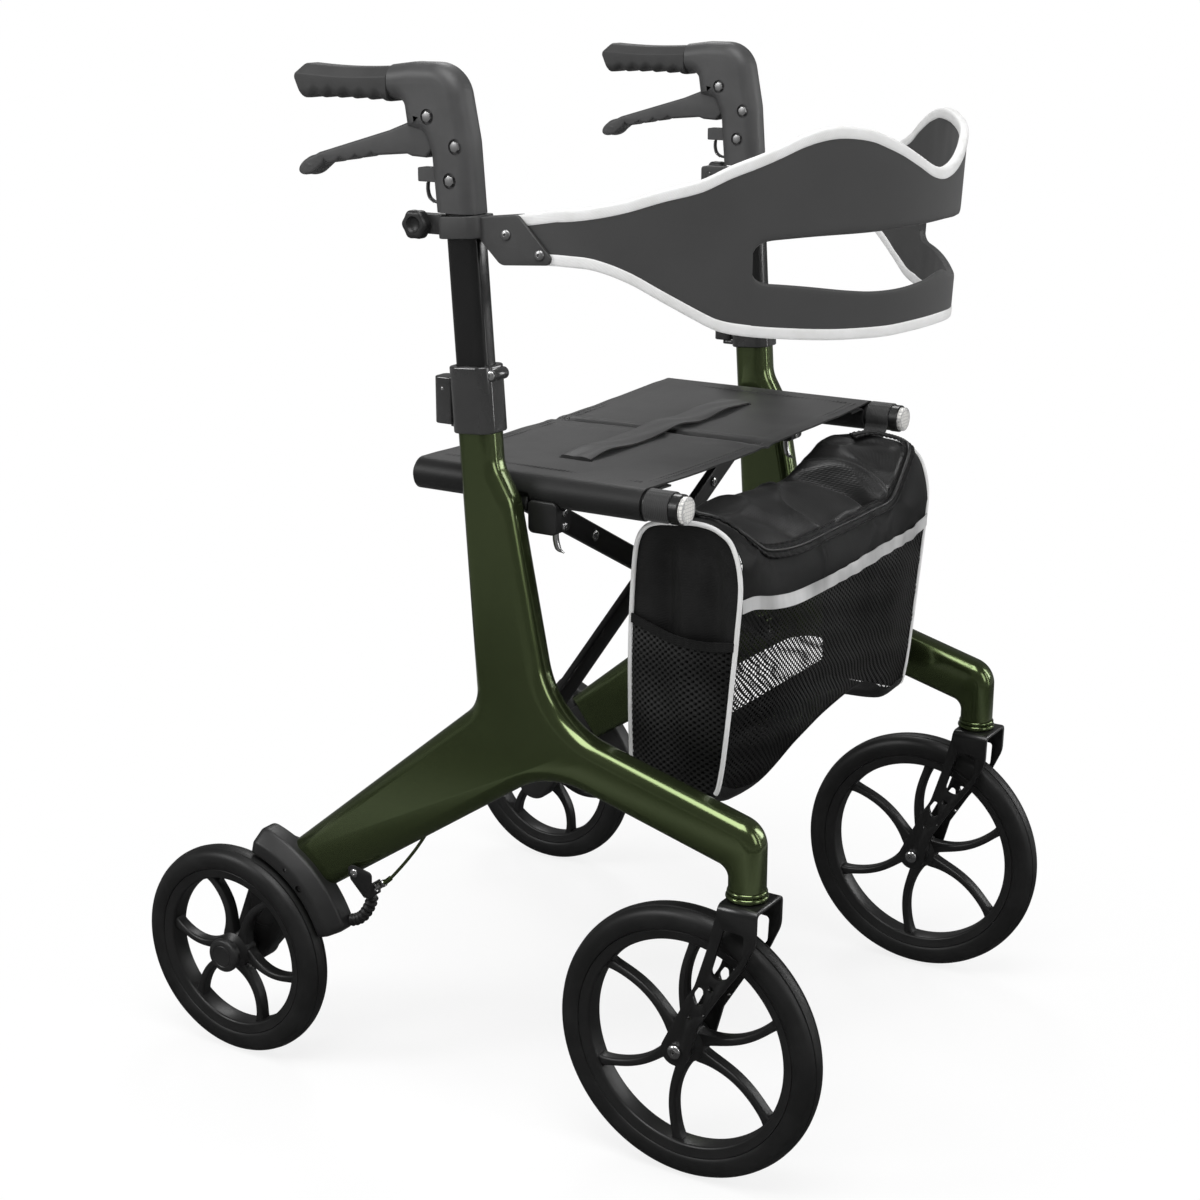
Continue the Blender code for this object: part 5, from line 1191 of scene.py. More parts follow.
def makeGrip(side):
    word = sideWord(side)
    h = handle
    w = h["gripWidth"] / 2
    count = 150
    rings = []
    for i in range(count):
        distance = h["gripStart"] - (h["gripStart"] - h["gripEnd"] + 0.004) * i / (count - 1)
        low, high = gripBottom(distance), gripTop(distance)
        ridge = high - 0.0082
        section = rounded([(-w * 0.60, high, 0.0060), (-w, ridge, 0.0022), (-w, low, 0.0080),
                           (w, low, 0.0080), (w, ridge, 0.0022), (w * 0.60, high, 0.0060)], 6)
        rings.append([(side * frameX + u, ahead(distance), z) for u, z in section])
    grip = loft(word + "Grip", rings, angle=40)
    tip = h["gripEnd"]
    end = rounded([(ahead(0.20), 0.88, 0), (ahead(tip + 0.0075), 0.88, 0),
                   (ahead(tip + 0.0085), 0.8980, 0.005), (ahead(tip), 0.9175, 0.005),
                   (ahead(tip + 0.0095), 0.9285, 0.006), (ahead(tip + 0.0140), 0.94, 0),
                   (ahead(0.20), 0.94, 0)], 8)
    grip = carve(grip, sideSlab("end", end, 0.06, side * frameX), operation="INTERSECT")
    bore = rod("bore", 0.0088, 0.0970, (side * frameX, ahead(0.1540), h["axis"]), alongY)
    grip = softEdges(carve(grip, bore), 0.0012, 3, 42)
    dress(grip, gripRubber, word + "_handle", (word + "_grip",))


def leverOutline():
    # round the pivot, along the top to the rounded tip, and back below it past the finger hollows
    h = handle
    outline = arc(sideLine([h["pivot"]])[0], 0.0100, 215, 10, 30) + sideLine(h["leverTop"])
    tipY, tipZ = sideLine([h["leverTip"]])[0]
    for i in range(37):
        t = math.radians(95 - 220 * i / 36)
        y = tipY + 0.0120 * math.cos(t) - 0.0018 * math.sin(t)
        outline.append((y, tipZ + 0.0076 * math.sin(t) - 0.0030 * math.cos(t)))
    outline += sideLine([(0.1195, 0.8452)])
    start, end = (Vector(spot) for spot in sideLine(h["hollows"]))
    for i in range(73):
        share = i / 72
        bump = 0.0034 * abs(math.sin(math.pi * share * 3.5)) ** 0.7
        spot = start.lerp(end, share)
        outline.append((spot.x, spot.y + 0.0020 - bump))
    return outline + sideLine(h["leverHeel"])


def makeHousing(side):
    h = handle
    x = side * frameX
    housing = sideSlab(sideWord(side) + "Housing", housingOutline(), h["thickness"], x, h["edge"], 8)
    core = rod("core", 0.0085, 0.0940, (x, ahead(0.1525), h["axis"]), alongY)
    stop = block("stop", 0.0200, 0.0115, 0.0012, 0.012, (x, ahead(0.2263), 0.8415), uprightYZ, 0.0006, 2)
    below = block("below", 0.1, 0.04, 0.001, 0.06, (x, ahead(0.2560), h["bottom"] - 0.02))
    behind = block("behind", 0.04, 0.06, 0.001, 0.06, (x, ahead(h["gripStart"] + gap) + 0.02, h["axis"]))
    housing = carve(carve(housing, below, behind), core, stop, operation="UNION")
    tools = [postBore("bore", side, h["bottom"] - 0.01, 0.863, gap),
             sideSlab("slot", sideLine(h["slotLine"]), h["slot"], x),
             slab("cableHole", [circle((0, 0), 0.0024, 20)], 0.008, (x, ahead(0.2355), 0.8190), uprightXZ)]
    for distance, z in h["bolts"]:
        for end in (right, left):
            face = x + end * h["thickness"] / 2
            tools.append(sideSlab("recess", circle((ahead(distance), z), h["recess"], 36), 0.0036, face))
    return softEdges(carve(housing, *tools), 0.0005, 2, 50)


def makeLever(side):
    x = side * frameX
    pivot = (x, ahead(handle["pivot"][0]), handle["pivot"][1])
    lever = sideSlab(sideWord(side) + "Lever", leverOutline(), 0.020, x, 0.0024, 4)
    bore = rod("bore", 0.0033, 0.04, pivot, alongX)
    turns = [math.radians(9 * i) for i in range(21)]
    ball = turned("ball", [(math.sin(t), math.cos(t)) for t in turns], (0, 0, 0), steps=40)
    size = Matrix.Diagonal((0.0102, 0.0128, 0.0082, 1))
    place = Matrix.Translation((x, ahead(0.1063), 0.8437))
    ball.data.transform(place @ Matrix.Rotation(math.radians(-14), 4, "X") @ size)
    return carve(carve(lever, ball, operation="UNION"), bore)


def makeHandle(side):
    word = sideWord(side)
    body = word + "_handle"
    h = handle
    x = side * frameX
    dress(makeHousing(side), handlePlastic, body, (word + "_handle_housing",))
    for k, (distance, z) in enumerate(h["bolts"]):
        for end, part in ((right, "Right"), (left, "Left")):
            spot = (x + end * (h["thickness"] / 2 - 0.0004), ahead(distance), z)
            head = hexHead(f"{word}HandleBolt{k + 1}{part}", h["boltRadius"], 0.0026, spot, facing(end))
            dress(head, satinSteel, body)
    pivot = (x, ahead(h["pivot"][0]), h["pivot"][1])
    dress(rod(word + "LeverPin", 0.0030, h["slot"] + 0.001, pivot, alongX), darkSteel, body)
    makeGrip(side)
    lever = smooth(makeLever(side), 36)
    dress(lever, handlePlastic, word + "_lever", (word + "_brake_lever",))
    line = smoothLine([(x, ahead(d), z) for d, z in h["cable"]], 40)
    cable = tube(word + "HandleCable", line, 0.0013, 14)
    dress(cable, moulded, body, (word + "_upper_cable",))
    shine = smoothLine([(x, ahead(d - 0.0016), z - 0.0008) for d, z in h["cable"][:4]], 30)
    dress(tube(word + "HandleWire", shine, 0.0007, 8), steel, body)


# backrest brackets and knobs

bracket = {
    "low": 0.7925, "high": 0.8105, "x": 0.2450, "plate": 0.0035, "band": 0.0064, "knobAt": 0.2185,
    "knob": 0.0125, "knobDepth": 0.011, "lobe": 0.0006, "rivets": ((-0.0550, 0.7980), (-0.0872, 0.7838)),
    "outline": [(0.3155, 0.8145, 0.006), (0.3525, 0.7765, 0.005), (0.2985, 0.7730, 0.010)],
    "bowl": [(0, 0.004), (0.0078, 0.004), (0.0070, -0.0004), (0.0054, -0.0024), (0.0030, -0.0034),
             (0, -0.0037)],
}


def makeKnob(side, axis):
    word = sideWord(side)
    b = bracket
    start = frameX + 0.0065
    lobes = []
    for i in range(120):
        t = 2 * math.pi * i / 120
        radius = b["knob"] - b["lobe"] + b["lobe"] * math.cos(6 * t)
        lobes.append((axis[0] + radius * math.cos(t), axis[1] + radius * math.sin(t)))
    knob = sideSlab(word + "Knob", lobes, b["knobDepth"], side * (start + b["knobDepth"] / 2), 0.0030, 5)
    dimple = turned("dimple", b["bowl"], (side * (start + b["knobDepth"]), *axis), facing(side), 40)
    knob = carve(knob, dimple)
    dress(smooth(knob, 36), moulded, word + "_knob", (word + "_backrest_knob",))
    stem = rod(word + "KnobStem", 0.0025, 0.0150, (side * (start + 0.0015 - 0.0075), *axis), alongX)
    dress(stem, darkSteel, word + "_knob")


def makeBracket(side):
    word = sideWord(side)
    body = word + "_handle"
    b = bracket
    x = side * frameX
    middle = (b["low"] + b["high"]) / 2
    height = b["high"] - b["low"]
    outline = boxOutline(0.034, 0.041, 0.010, 10)
    ring = slab(word + "Bracket", [outline], height, onPost(side, middle), leaning, 0.0009, 3)
    root = ahead(0.2785)
    plate = [(root, b["high"], 0)]
    plate += [(ahead(d), z, radius) for d, z, radius in b["outline"]]
    plate.append((root, b["low"], 0))
    shift = b["band"] / 2 + gap + b["plate"] / 2
    parts = []
    for end in (right, left):
        plateX = side * b["x"] + end * shift
        parts.append(sideSlab("plate", rounded(plate, 8), b["plate"], plateX, 0.0009, 3))
        place = (x + end * 0.0036, ahead(0.2265), middle)
        parts.append(block("ear", 0.034, height - 0.002, 0.003, 0.0048, place, uprightYZ, 0.0006, 2))
    parts.append(block("web", 0.0175, height - 0.001, 0.001, 2 * shift,
                       (side * b["x"], ahead(0.2878), middle)))
    ring = carve(ring, *parts, operation="UNION")
    axis = (ahead(b["knobAt"]), middle)
    ring = carve(ring, block("split", 0.05, 0.05, 0.001, 0.0024, (x, ahead(0.2220), middle)),
                 postBore("bore", side, b["low"] - 0.01, b["high"] + 0.01, gap),
                 sideSlab("screwHole", circle(axis, 0.0028, 24), 0.03, x))
    dress(smooth(ring, 34), bracketPlastic, body, (word + "_backrest_bracket",))
    for k, spot in enumerate(b["rivets"]):
        for end, part in ((right, "Right"), (left, "Left")):
            face = side * b["x"] + end * (shift + b["plate"] / 2)
            name = f"{word}BracketRivet{k + 1}{part}"
            dress(boltHead(name, 0.0043, 0.0024, (face, *spot), facing(end), 0.3), satinSteel, body)
    makeKnob(side, axis)


# folding cross, seat rails and rests

cross = {"spacing": 0.010, "height": 0.020, "thickness": 0.008, "bolts": (0.118, 0.176, 0.206),
         "centreReach": 0.0093}


def makeCrossBar(side, name, body):
    # starts at this side's lower pivot and ends under the other side's rail
    c = cross
    y = crossY - side * c["spacing"] / 2
    reach = pivotX / math.cos(crossTurn)
    half = c["height"] / 2
    ring = arc((-reach, 0), half, 90, 270, 24) + arc((reach + 0.004, -half + 0.006), 0.006, -90, 0, 8)
    ring.append((reach + 0.010, half))
    cosine, sine = math.cos(crossTurn), math.sin(crossTurn)
    outline = [(-side * (s * cosine - t * sine), crossZ + s * sine + t * cosine) for s, t in ring]
    bar = slab(sideWord(side) + "CrossBar", [outline], c["thickness"], (0, y, 0), uprightXZ, 0.0018, 4)
    tools = [rod("bore", 0.0043, 0.03, spot, alongY) for spot in ((side * pivotX, y, pivotZ), (0, y, crossZ))]
    tools.append(rod("railSeat", railRadius + gap, 0.03, (-side * railX, y, railZ), alongY, 64))
    bar = carve(bar, *tools)
    dress(smooth(bar, 34), blackMetal, body, (name,))
    for k, far in enumerate(c["bolts"]):
        spot = (-side * far, y - 0.0041, crossZ + far * math.tan(crossTurn))
        radius = 0.0050 if k == 0 else 0.0040
        dress(boltHead(f"{sideWord(side)}CrossBolt{k + 1}", radius, 0.0022, spot, uprightXZ), steel, body)


def makeCross():
    makeCrossBar(left, "front_cross_bar", "front_cross")
    makeCrossBar(right, "rear_cross_bar", "rear_cross")
    reach = cross["centreReach"]
    bolt = rod("centreBolt", 0.004, 2 * reach, (0, crossY, crossZ), alongY)
    dress(bolt, steel, "front_cross", ("centre_bolt",))
    for end, part in ((right, "Front"), (left, "Back")):
        spot = (0, crossY + end * reach, crossZ)
        head = boltHead("centreBolt" + part, 0.0078, 0.0036, spot, (-end * math.pi / 2, 0, 0))
        dress(head, steel, "front_cross")


rail = {"front": 0.4495, "back": 0.1835, "edge": 0.0035, "cap": 0.0004, "lens": 0.0115, "lensDepth": -0.0045}


def makeRail(side, body):
    word = sideWord(side)
    length = rail["front"] - rail["back"]
    r, edge, cap = railRadius, rail["edge"], railRadius + rail["cap"]
    centre = (side * railX, ahead(rail["front"]), railZ)
    profile = [(0, length), (r - 0.004, length)] + arc((r - edge, length - edge), edge, 90, 0, 8)
    profile += [(r, 0.0300), (cap, 0.0296), (cap, 0.0088), (r + 0.001, 0.0080), (r + 0.0010, 0.0006),
                (cap, 0), (0, 0)]
    tubeObj = turned(word + "Rail", profile, centre, alongY, 64)
    dress(tubeObj, blackMetal, body, (word + "_seat_rail",))
    q, deep, rim = rail["lens"], rail["lensDepth"], 0.0012
    disc = [(0, -gap), (q, -gap), (q, deep + rim)] + arc((q - rim, deep + rim), rim, 0, -90, 5)
    disc += [(0.006, deep - 0.0003), (0, deep - 0.0004)]
    lensObj = turned(word + "RailLens", disc, centre, alongY, 64)
    dress(lensObj, lens, body, (word + "_rail_reflector",))


rest = {"width": 0.0285, "below": 0.0208, "groove": 0.0147,
        "hook": [(0.004, 0.0135), (0.0045, 0.022), (0.007, 0.029), (0.0125, 0.032)]}


def makeRest(side):
    word = sideWord(side)
    body = word + "_side"
    r = rest
    face = frameX - 0.0153
    near = railX - 0.008
    y = ahead(0.296 + 0.0107 + r["width"] / 2)
    z = railZ - r["below"]
    place = (side * (face + near) / 2, y, z)
    cup = block(word + "RailRest", r["width"], r["width"], 0.005, face - near, place, uprightYZ, 0.0016, 3)
    cup = carve(cup, rod("groove", r["groove"], 0.09, (side * railX, y, railZ), alongY, 64))
    dress(smooth(cup, 34), moulded, body, (word + "_rail_rest",))
    for k, lift in enumerate((-0.008, 0.004)):
        spot = (side * (near + 0.010), y - r["width"] / 2, z + lift)
        dress(boltHead(f"{word}RestBolt{k + 1}", 0.0036, 0.0020, spot, uprightXZ, 0.5), steel, body)
    hookLine = smoothLine([(side * railX, y - forward, z - drop) for forward, drop in r["hook"]], 24)
    radii = [1 - 0.75 * between(0.55, 1.0, i / 23) for i in range(24)]
    dress(tube(word + "RestHook", hookLine, 0.0028, 16, radii), steel, body)


# seat and pull strap

seat = {
    "back": 0.1870, "front": 0.4150, "sag": 0.004, "wall": 0.0016, "wrap": 300, "underlap": 0.026,
    "strap": 0.030, "slot": 0.146, "strapAt": 0.303, "tuck": (0.004, 0.010, 0.018, 0.026),
    "hemStitches": (0.030, 0.052, 0.948, 0.970), "foldStitches": (0.1965, 0.1935),
}


def seatTop(x):
    crown = railZ + railRadius + gap + 0.0018
    return crown - seat["sag"] * (1 - min(abs(x) / railX, 1) ** 2)


def seatPath():
    # one cut through the cloth: under one edge, round a rail, over, round the other rail and back under
    r = railRadius + gap + 0.0010
    edge = railX - 0.013
    path = []
    for side in (right, left):
        loop = arc((side * railX, railZ), r, 90, 90 + side * -seat["wrap"], 36)
        path.append(loop + [(side * (edge - d), seatTop(edge - d) - 0.0042) for d in seat["tuck"]])
    across = [railX * (1 - 2 * i / 60) for i in range(61)][1:-1]
    top = [(x, seatTop(x) - 0.0008) for x in across]
    return path[1][::-1] + top + path[0]


def ridge(x, middle, width):
    # 1 at the middle, fading on both sides
    return math.exp(-((x - middle) / width) ** 2)


def onCross(obj):
    # cloth that hangs between the two rails, so between the two cross bars
    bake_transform(obj)
    return obj


def seatRise(x, y, z, share):
    # how far the cloth lies off its plain line: the crease in the middle, slack and hems
    top = between(railZ + 0.002, railZ + 0.008, z) * between(railX, railX * 0.86, abs(x))
    crease = -0.0050 * math.exp(-(x / 0.0050) ** 2) + 0.0024 * ridge(abs(x), 0.011, 0.007)
    crease *= 0.3 + 0.7 * between(0, 0.10, share) * between(1, 0.90, share)
    slack = 0.0016 * noise.noise(Vector((x * 9, y * 14, 2.0)))
    slack += 0.0006 * noise.noise(Vector((x * 30, y * 22, 7.0)))
    hem = 0.0009 * (ridge(share, 0.035, 0.014) + ridge(share, 0.965, 0.014))
    return top * (crease + slack + hem)


def makeSeat():
    s = seat
    start, end = ahead(s["back"]), ahead(s["front"])
    count = 46
    rows = []
    for i in range(count + 1):
        share = i / count
        y = start + (end - start) * share
        rows.append([(x, y, z + seatRise(x, y, z, share)) for x, z in seatPath()])
    cloth = thicken(openSkin("seatSling", rows), s["wall"], 0, 50)
    tools = []
    for side in (right, left):
        tools.append(block("notch", 0.022, 0.024, 0.002, 0.040, (side * railX, crossY, railZ - 0.0125)))
        place = (side * s["slot"], ahead(s["strapAt"]), railZ + 0.010)
        tools.append(block("slot", 0.005, s["strap"] + 0.004, 0.002, 0.03, place, (0, 0, 0)))
    cloth = carve(cloth, *tools)
    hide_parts("seat")
    cloth.data.materials.append(seatLeather)
    onCross(cloth)

    # two rows of stitches beside each hem and along the fold at each rail
    for k, share in enumerate(s["hemStitches"]):
        y = start + (end - start) * share
        xs = [0.195 * (1 - 2 * i / 120) for i in range(121)]
        onCross(stitchRow(f"seatStitch{k + 1}", [(x, y, seatTop(x) + 0.0003) for x in xs]))
    ys = [start + (end - start) * (0.04 + 0.92 * i / 80) for i in range(81)]
    for side in (right, left):
        for k, x in enumerate(s["foldStitches"]):
            line = [(side * x, y, seatTop(x) + 0.0002) for y in ys]
            onCross(stitchRow(f"{sideWord(side)}SeatStitch{k + 1}", line))


def stitchRow(name, line, radius=0.00035, pitch=0.0042):
    # short raised threads in a row
    pts = [Vector(p) for p in line]
    legs = [(b - a).length for a, b in zip(pts, pts[1:])]
    shape = bmesh.new()
    size = Matrix.Diagonal((pitch * 0.36, radius * 1.3, radius, 1))
    lying = Matrix.Rotation(math.pi / 2, 4, "Y")
    leg, passed = 0, 0.0
    for k in range(int(sum(legs) / pitch)):
        target = k * pitch
        while leg < len(legs) - 1 and passed + legs[leg] < target:
            passed += legs[leg]
            leg += 1
        along = (pts[leg + 1] - pts[leg]).normalized()
        centre = pts[leg] + along * (target - passed)
        turn = along.to_track_quat("X", "Z").to_matrix().to_4x4()
        place = Matrix.Translation(centre) @ turn @ size @ lying
        bmesh.ops.create_uvsphere(shape, u_segments=8, v_segments=5, radius=1.0, matrix=place)
    made = meshOf(name, shape, angle=60)
    made.data.materials.append(threadGrey)
    return made


def makeStrap():
    s = seat
    reach = s["slot"] - 0.0008
    half = s["strap"] / 2
    turnDown = reach + 0.0004

    def rise(x):
        arch = 0.0044 * (1 - (x / reach) ** 4) * (0.62 + 0.38 * math.cos(x * 52))
        return seatTop(x) + 0.0014 + arch + 0.0005 * math.sin(x * 90)

    line = [(turnDown, seatTop(reach) - 0.0135), (turnDown, seatTop(reach) - 0.0040)]
    line += [(x, rise(x)) for x in [reach * (1 - 2 * i / 60) for i in range(61)]]
    line += [(-x, z) for x, z in line[:2][::-1]]
    rows = []
    for j in range(13):
        across = -1 + 2 * j / 12
        row = []
        for x, z in line:
            wave = 0.0004 * math.sin(across * 5 + x * 60)
            y = ahead(s["strapAt"]) + across * half + 0.0006 * math.sin(x * 38)
            row.append((x, y, z + 0.0008 * (1 - across ** 4) + wave))
        rows.append(row)
    strap = thicken(openSkin("pullStrap", rows), 0.0014, 0, 50)
    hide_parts("pull_strap")
    strap.data.materials.append(strapLeatherLit)
    onCross(strap)


# bag

# folds: each fold's two ends as (x, v), its width and its height
bag = {
    "half": 0.188, "foot": 0.318, "wall": 0.0009, "stripHeight": 0.0115, "piping": 0.0021,
    "side": [(-0.1385, 0.3200), (-0.1366, 0.3575), (-0.1355, 0.400), (-0.1355, 0.455), (-0.1378, 0.508),
             (-0.1412, 0.539), (-0.1485, 0.5535), (-0.1610, 0.5598), (-0.1800, 0.5622), (-0.1990, 0.5640),
             (-0.2180, 0.5605), (-0.2330, 0.5480), (-0.2405, 0.5180), (-0.2380, 0.4730), (-0.2340, 0.4280),
             (-0.2297, 0.3810), (-0.2252, 0.3420), (-0.2195, 0.3225), (-0.2050, 0.3170), (-0.1780, 0.3160),
             (-0.1500, 0.3165)],
    "middle": [(-0.1390, 0.3200), (-0.1365, 0.3575), (-0.1360, 0.399), (-0.1360, 0.453), (-0.1372, 0.507),
               (-0.1410, 0.535), (-0.1490, 0.5460), (-0.1610, 0.5520), (-0.1800, 0.5510), (-0.2000, 0.5430),
               (-0.2180, 0.5310), (-0.2315, 0.5150), (-0.2395, 0.4940), (-0.2410, 0.4600),
               (-0.2385, 0.4080), (-0.2335, 0.3640), (-0.2275, 0.3320), (-0.2210, 0.3205),
               (-0.2050, 0.3170), (-0.1780, 0.3160), (-0.1500, 0.3165)],
    "footLine": [(-0.188, 0.3240), (-0.160, 0.3135), (-0.105, 0.316), (-0.047, 0.331), (0.014, 0.341),
                 (0.078, 0.3460), (0.118, 0.334), (0.148, 0.317), (0.188, 0.3155)],
    "crown": [(-0.188, 0.000), (-0.140, 0.002), (-0.090, 0.003), (-0.040, 0.001), (0.015, -0.003),
              (0.065, -0.004), (0.097, 0.004), (0.120, 0.013), (0.143, 0.016), (0.165, 0.010),
              (0.188, 0.000)],
    "strip": [(-0.188, 0.5045), (-0.167, 0.5030), (-0.130, 0.4940), (-0.094, 0.4885), (-0.045, 0.4870),
              (0.004, 0.4870), (0.067, 0.4885), (0.156, 0.4915), (0.188, 0.4975)],
    "zip": [(-0.163, 7.8), (-0.156, 8.8), (-0.142, 9.8), (-0.122, 10.25), (-0.095, 10.6), (-0.060, 10.75),
            (0.0, 10.75), (0.070, 10.75), (0.130, 10.75), (0.158, 10.7), (0.174, 10.35), (0.179, 10.0),
            (0.174, 9.3), (0.160, 8.6), (0.146, 8.0)],
    "folds": (((0.058, 6.5), (0.092, 10.9), 0.009, -0.0125), ((0.080, 6.3), (0.118, 10.6), 0.008, 0.0070),
              ((0.128, 7.0), (0.160, 10.0), 0.009, -0.0045),
              ((-0.105, 8.0), (-0.040, 10.8), 0.014, -0.0035)),
    "zipTape": 0.0062, "teeth": 170, "loopEdges": (0.4412, 0.4180), "loopHalf": 0.0113,
    "loopStart": [(0.1790, 0.5632), (0.1870, 0.5642), (0.1940, 0.5678), (0.1988, 0.5725)],
    "hem": [(-0.140, 0.478), (-0.154, 0.4735), (-0.1735, 0.468), (-0.193, 0.464), (-0.207, 0.4637),
            (-0.2375, 0.467)],
}


def lineAt(points, x):
    # a smooth height for any x along (x, height) points
    if x <= points[0][0]:
        return points[0][1]
    for k in range(len(points) - 1):
        a, b = points[k], points[k + 1]
        if x <= b[0]:
            before = points[k - 1] if k else a
            after = points[k + 2] if k + 2 < len(points) else b
            t = (x - a[0]) / (b[0] - a[0])
            slopeA = (b[1] - before[1]) / max(b[0] - before[0], 1e-9) * (b[0] - a[0])
            slopeB = (after[1] - a[1]) / max(after[0] - a[0], 1e-9) * (b[0] - a[0])
            return ((2 * t ** 3 - 3 * t * t + 1) * a[1] + (t ** 3 - 2 * t * t + t) * slopeA
                    + (3 * t * t - 2 * t ** 3) * b[1] + (t ** 3 - t * t) * slopeB)
    return points[-1][1]


def ringPoint(x, v):
    # a point on the bag's skin: v counts the side view's points, from the back of the foot upwards
    b = bag
    count = len(b["side"])
    middleness = between(b["half"] * 0.99, b["half"] * 0.60, abs(x))
    k = int(math.floor(v)) % count
    t = v - math.floor(v)
    spot = Vector((0, 0))
    for loop, share in ((b["side"], 1 - middleness), (b["middle"], middleness)):
        p = [Vector(loop[(k + j - 1) % count]) for j in range(4)]
        spot += share * 0.5 * catmull(*p, t)
    y, z = spot
    z += (lineAt(b["footLine"], x) - b["foot"]) * between(0.42, 0.325, z) * between(-0.150, -0.210, y)
    z += lineAt(b["crown"], x) * between(0.520, 0.556, z)
    return Vector((x, y, z))


def solve(x, wanted, low, high):
    # the v on the front where the skin is at a wanted height
    for _ in range(26):
        middle = (low + high) / 2
        if ringPoint(x, middle).z > wanted:
            low = middle
        else:
            high = middle
    return (low + high) / 2


def stripV(x, offset=0.0):
    return solve(x, lineAt(bag["strip"], x) + offset, 11.4, 16.0)


def skinNormal(x, v):
    step = 0.04
    alongV = ringPoint(x, v + step) - ringPoint(x, v - step)
    alongXs = ringPoint(min(x + 0.002, bag["half"]), v) - ringPoint(max(x - 0.002, -bag["half"]), v)
    return alongXs.cross(alongV).normalized() * -1


def crumple(x, y, z):
    # soft folds in the lid: long creases with sharper crests
    big = noise.noise(Vector((x * 8, y * 12, z * 12 + 4)))
    sharp = 1 - 2 * abs(noise.noise(Vector((x * 15 + 3, y * 19, z * 12))))
    fine = noise.noise(Vector((x * 40, y * 50, z * 34 + 9)))
    return 0.0055 * big + 0.0042 * sharp ** 4 + 0.0004 * fine


def lidFold(x, v):
    # the deep fold between the dip and the bulge at the far end, and three smaller ones
    height = 0.0
    for (xa, va), (xb, vb), width, depth in bag["folds"]:
        share = (v - va) / (vb - va)
        centre = xa + (xb - xa) * share
        height += depth * ridge(x, centre, width) * between(-0.1, 0.15, share) * between(1.1, 0.9, share)
    return height


def onLid(x, v):
    # whether a place on the skin lies inside the zip's loop
    outline = bag["zip"] + [(bag["zip"][-1][0], 4.0), (bag["zip"][0][0], 4.0)]
    hits = 0
    for (xa, va), (xb, vb) in zip(outline, outline[1:] + outline[:1]):
        if (xa > x) != (xb > x) and v < va + (vb - va) * (x - xa) / (xb - xa):
            hits += 1
    return hits % 2 == 1


def skinSheet(name, columns, startV, endV, rows, lift, wall=None, keep=None):
    # a piece of the bag's skin between two v lines, made a thin solid; keep(x, v) leaves faces out
    half = bag["half"]
    grid = []
    for i in range(columns + 1):
        x = -half + 2 * half * i / columns
        low, high = startV(x), endV(x)
        line = []
        for j in range(rows + 1):
            v = low + (high - low) * j / rows
            p = ringPoint(x, v)
            line.append(p + skinNormal(x, v) * lift(x, v, p))
        grid.append(line)
    sheet = openSkin(name, grid)
    if keep:
        shape = bmesh.new()
        shape.from_mesh(sheet.data)
        gone = []
        for face in shape.faces:
            i = sum(vert.index // (rows + 1) for vert in face.verts) / 4
            j = sum(vert.index % (rows + 1) for vert in face.verts) / 4
            x = -half + 2 * half * i / columns
            if not keep(x, startV(x) + (endV(x) - startV(x)) * j / rows):
                gone.append(face)
        bmesh.ops.delete(shape, geom=gone, context="FACES")
        shape.to_mesh(sheet.data)
        shape.free()
    return thicken(sheet, wall or bag["wall"])


def insideZip(x, v):
    # 1 on the lid inside the zip, 0 on the yoke around it
    across = between(0.166, 0.150, abs(x - 0.008))
    down = between(10.75, 10.35, v) * between(6.0, 7.2, v)
    return across * down


def bagRide(obj, material):
    obj.data.materials.clear()
    obj.data.materials.append(material)
    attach(obj, "bag_hanger")
    return flatten(obj, "bag")


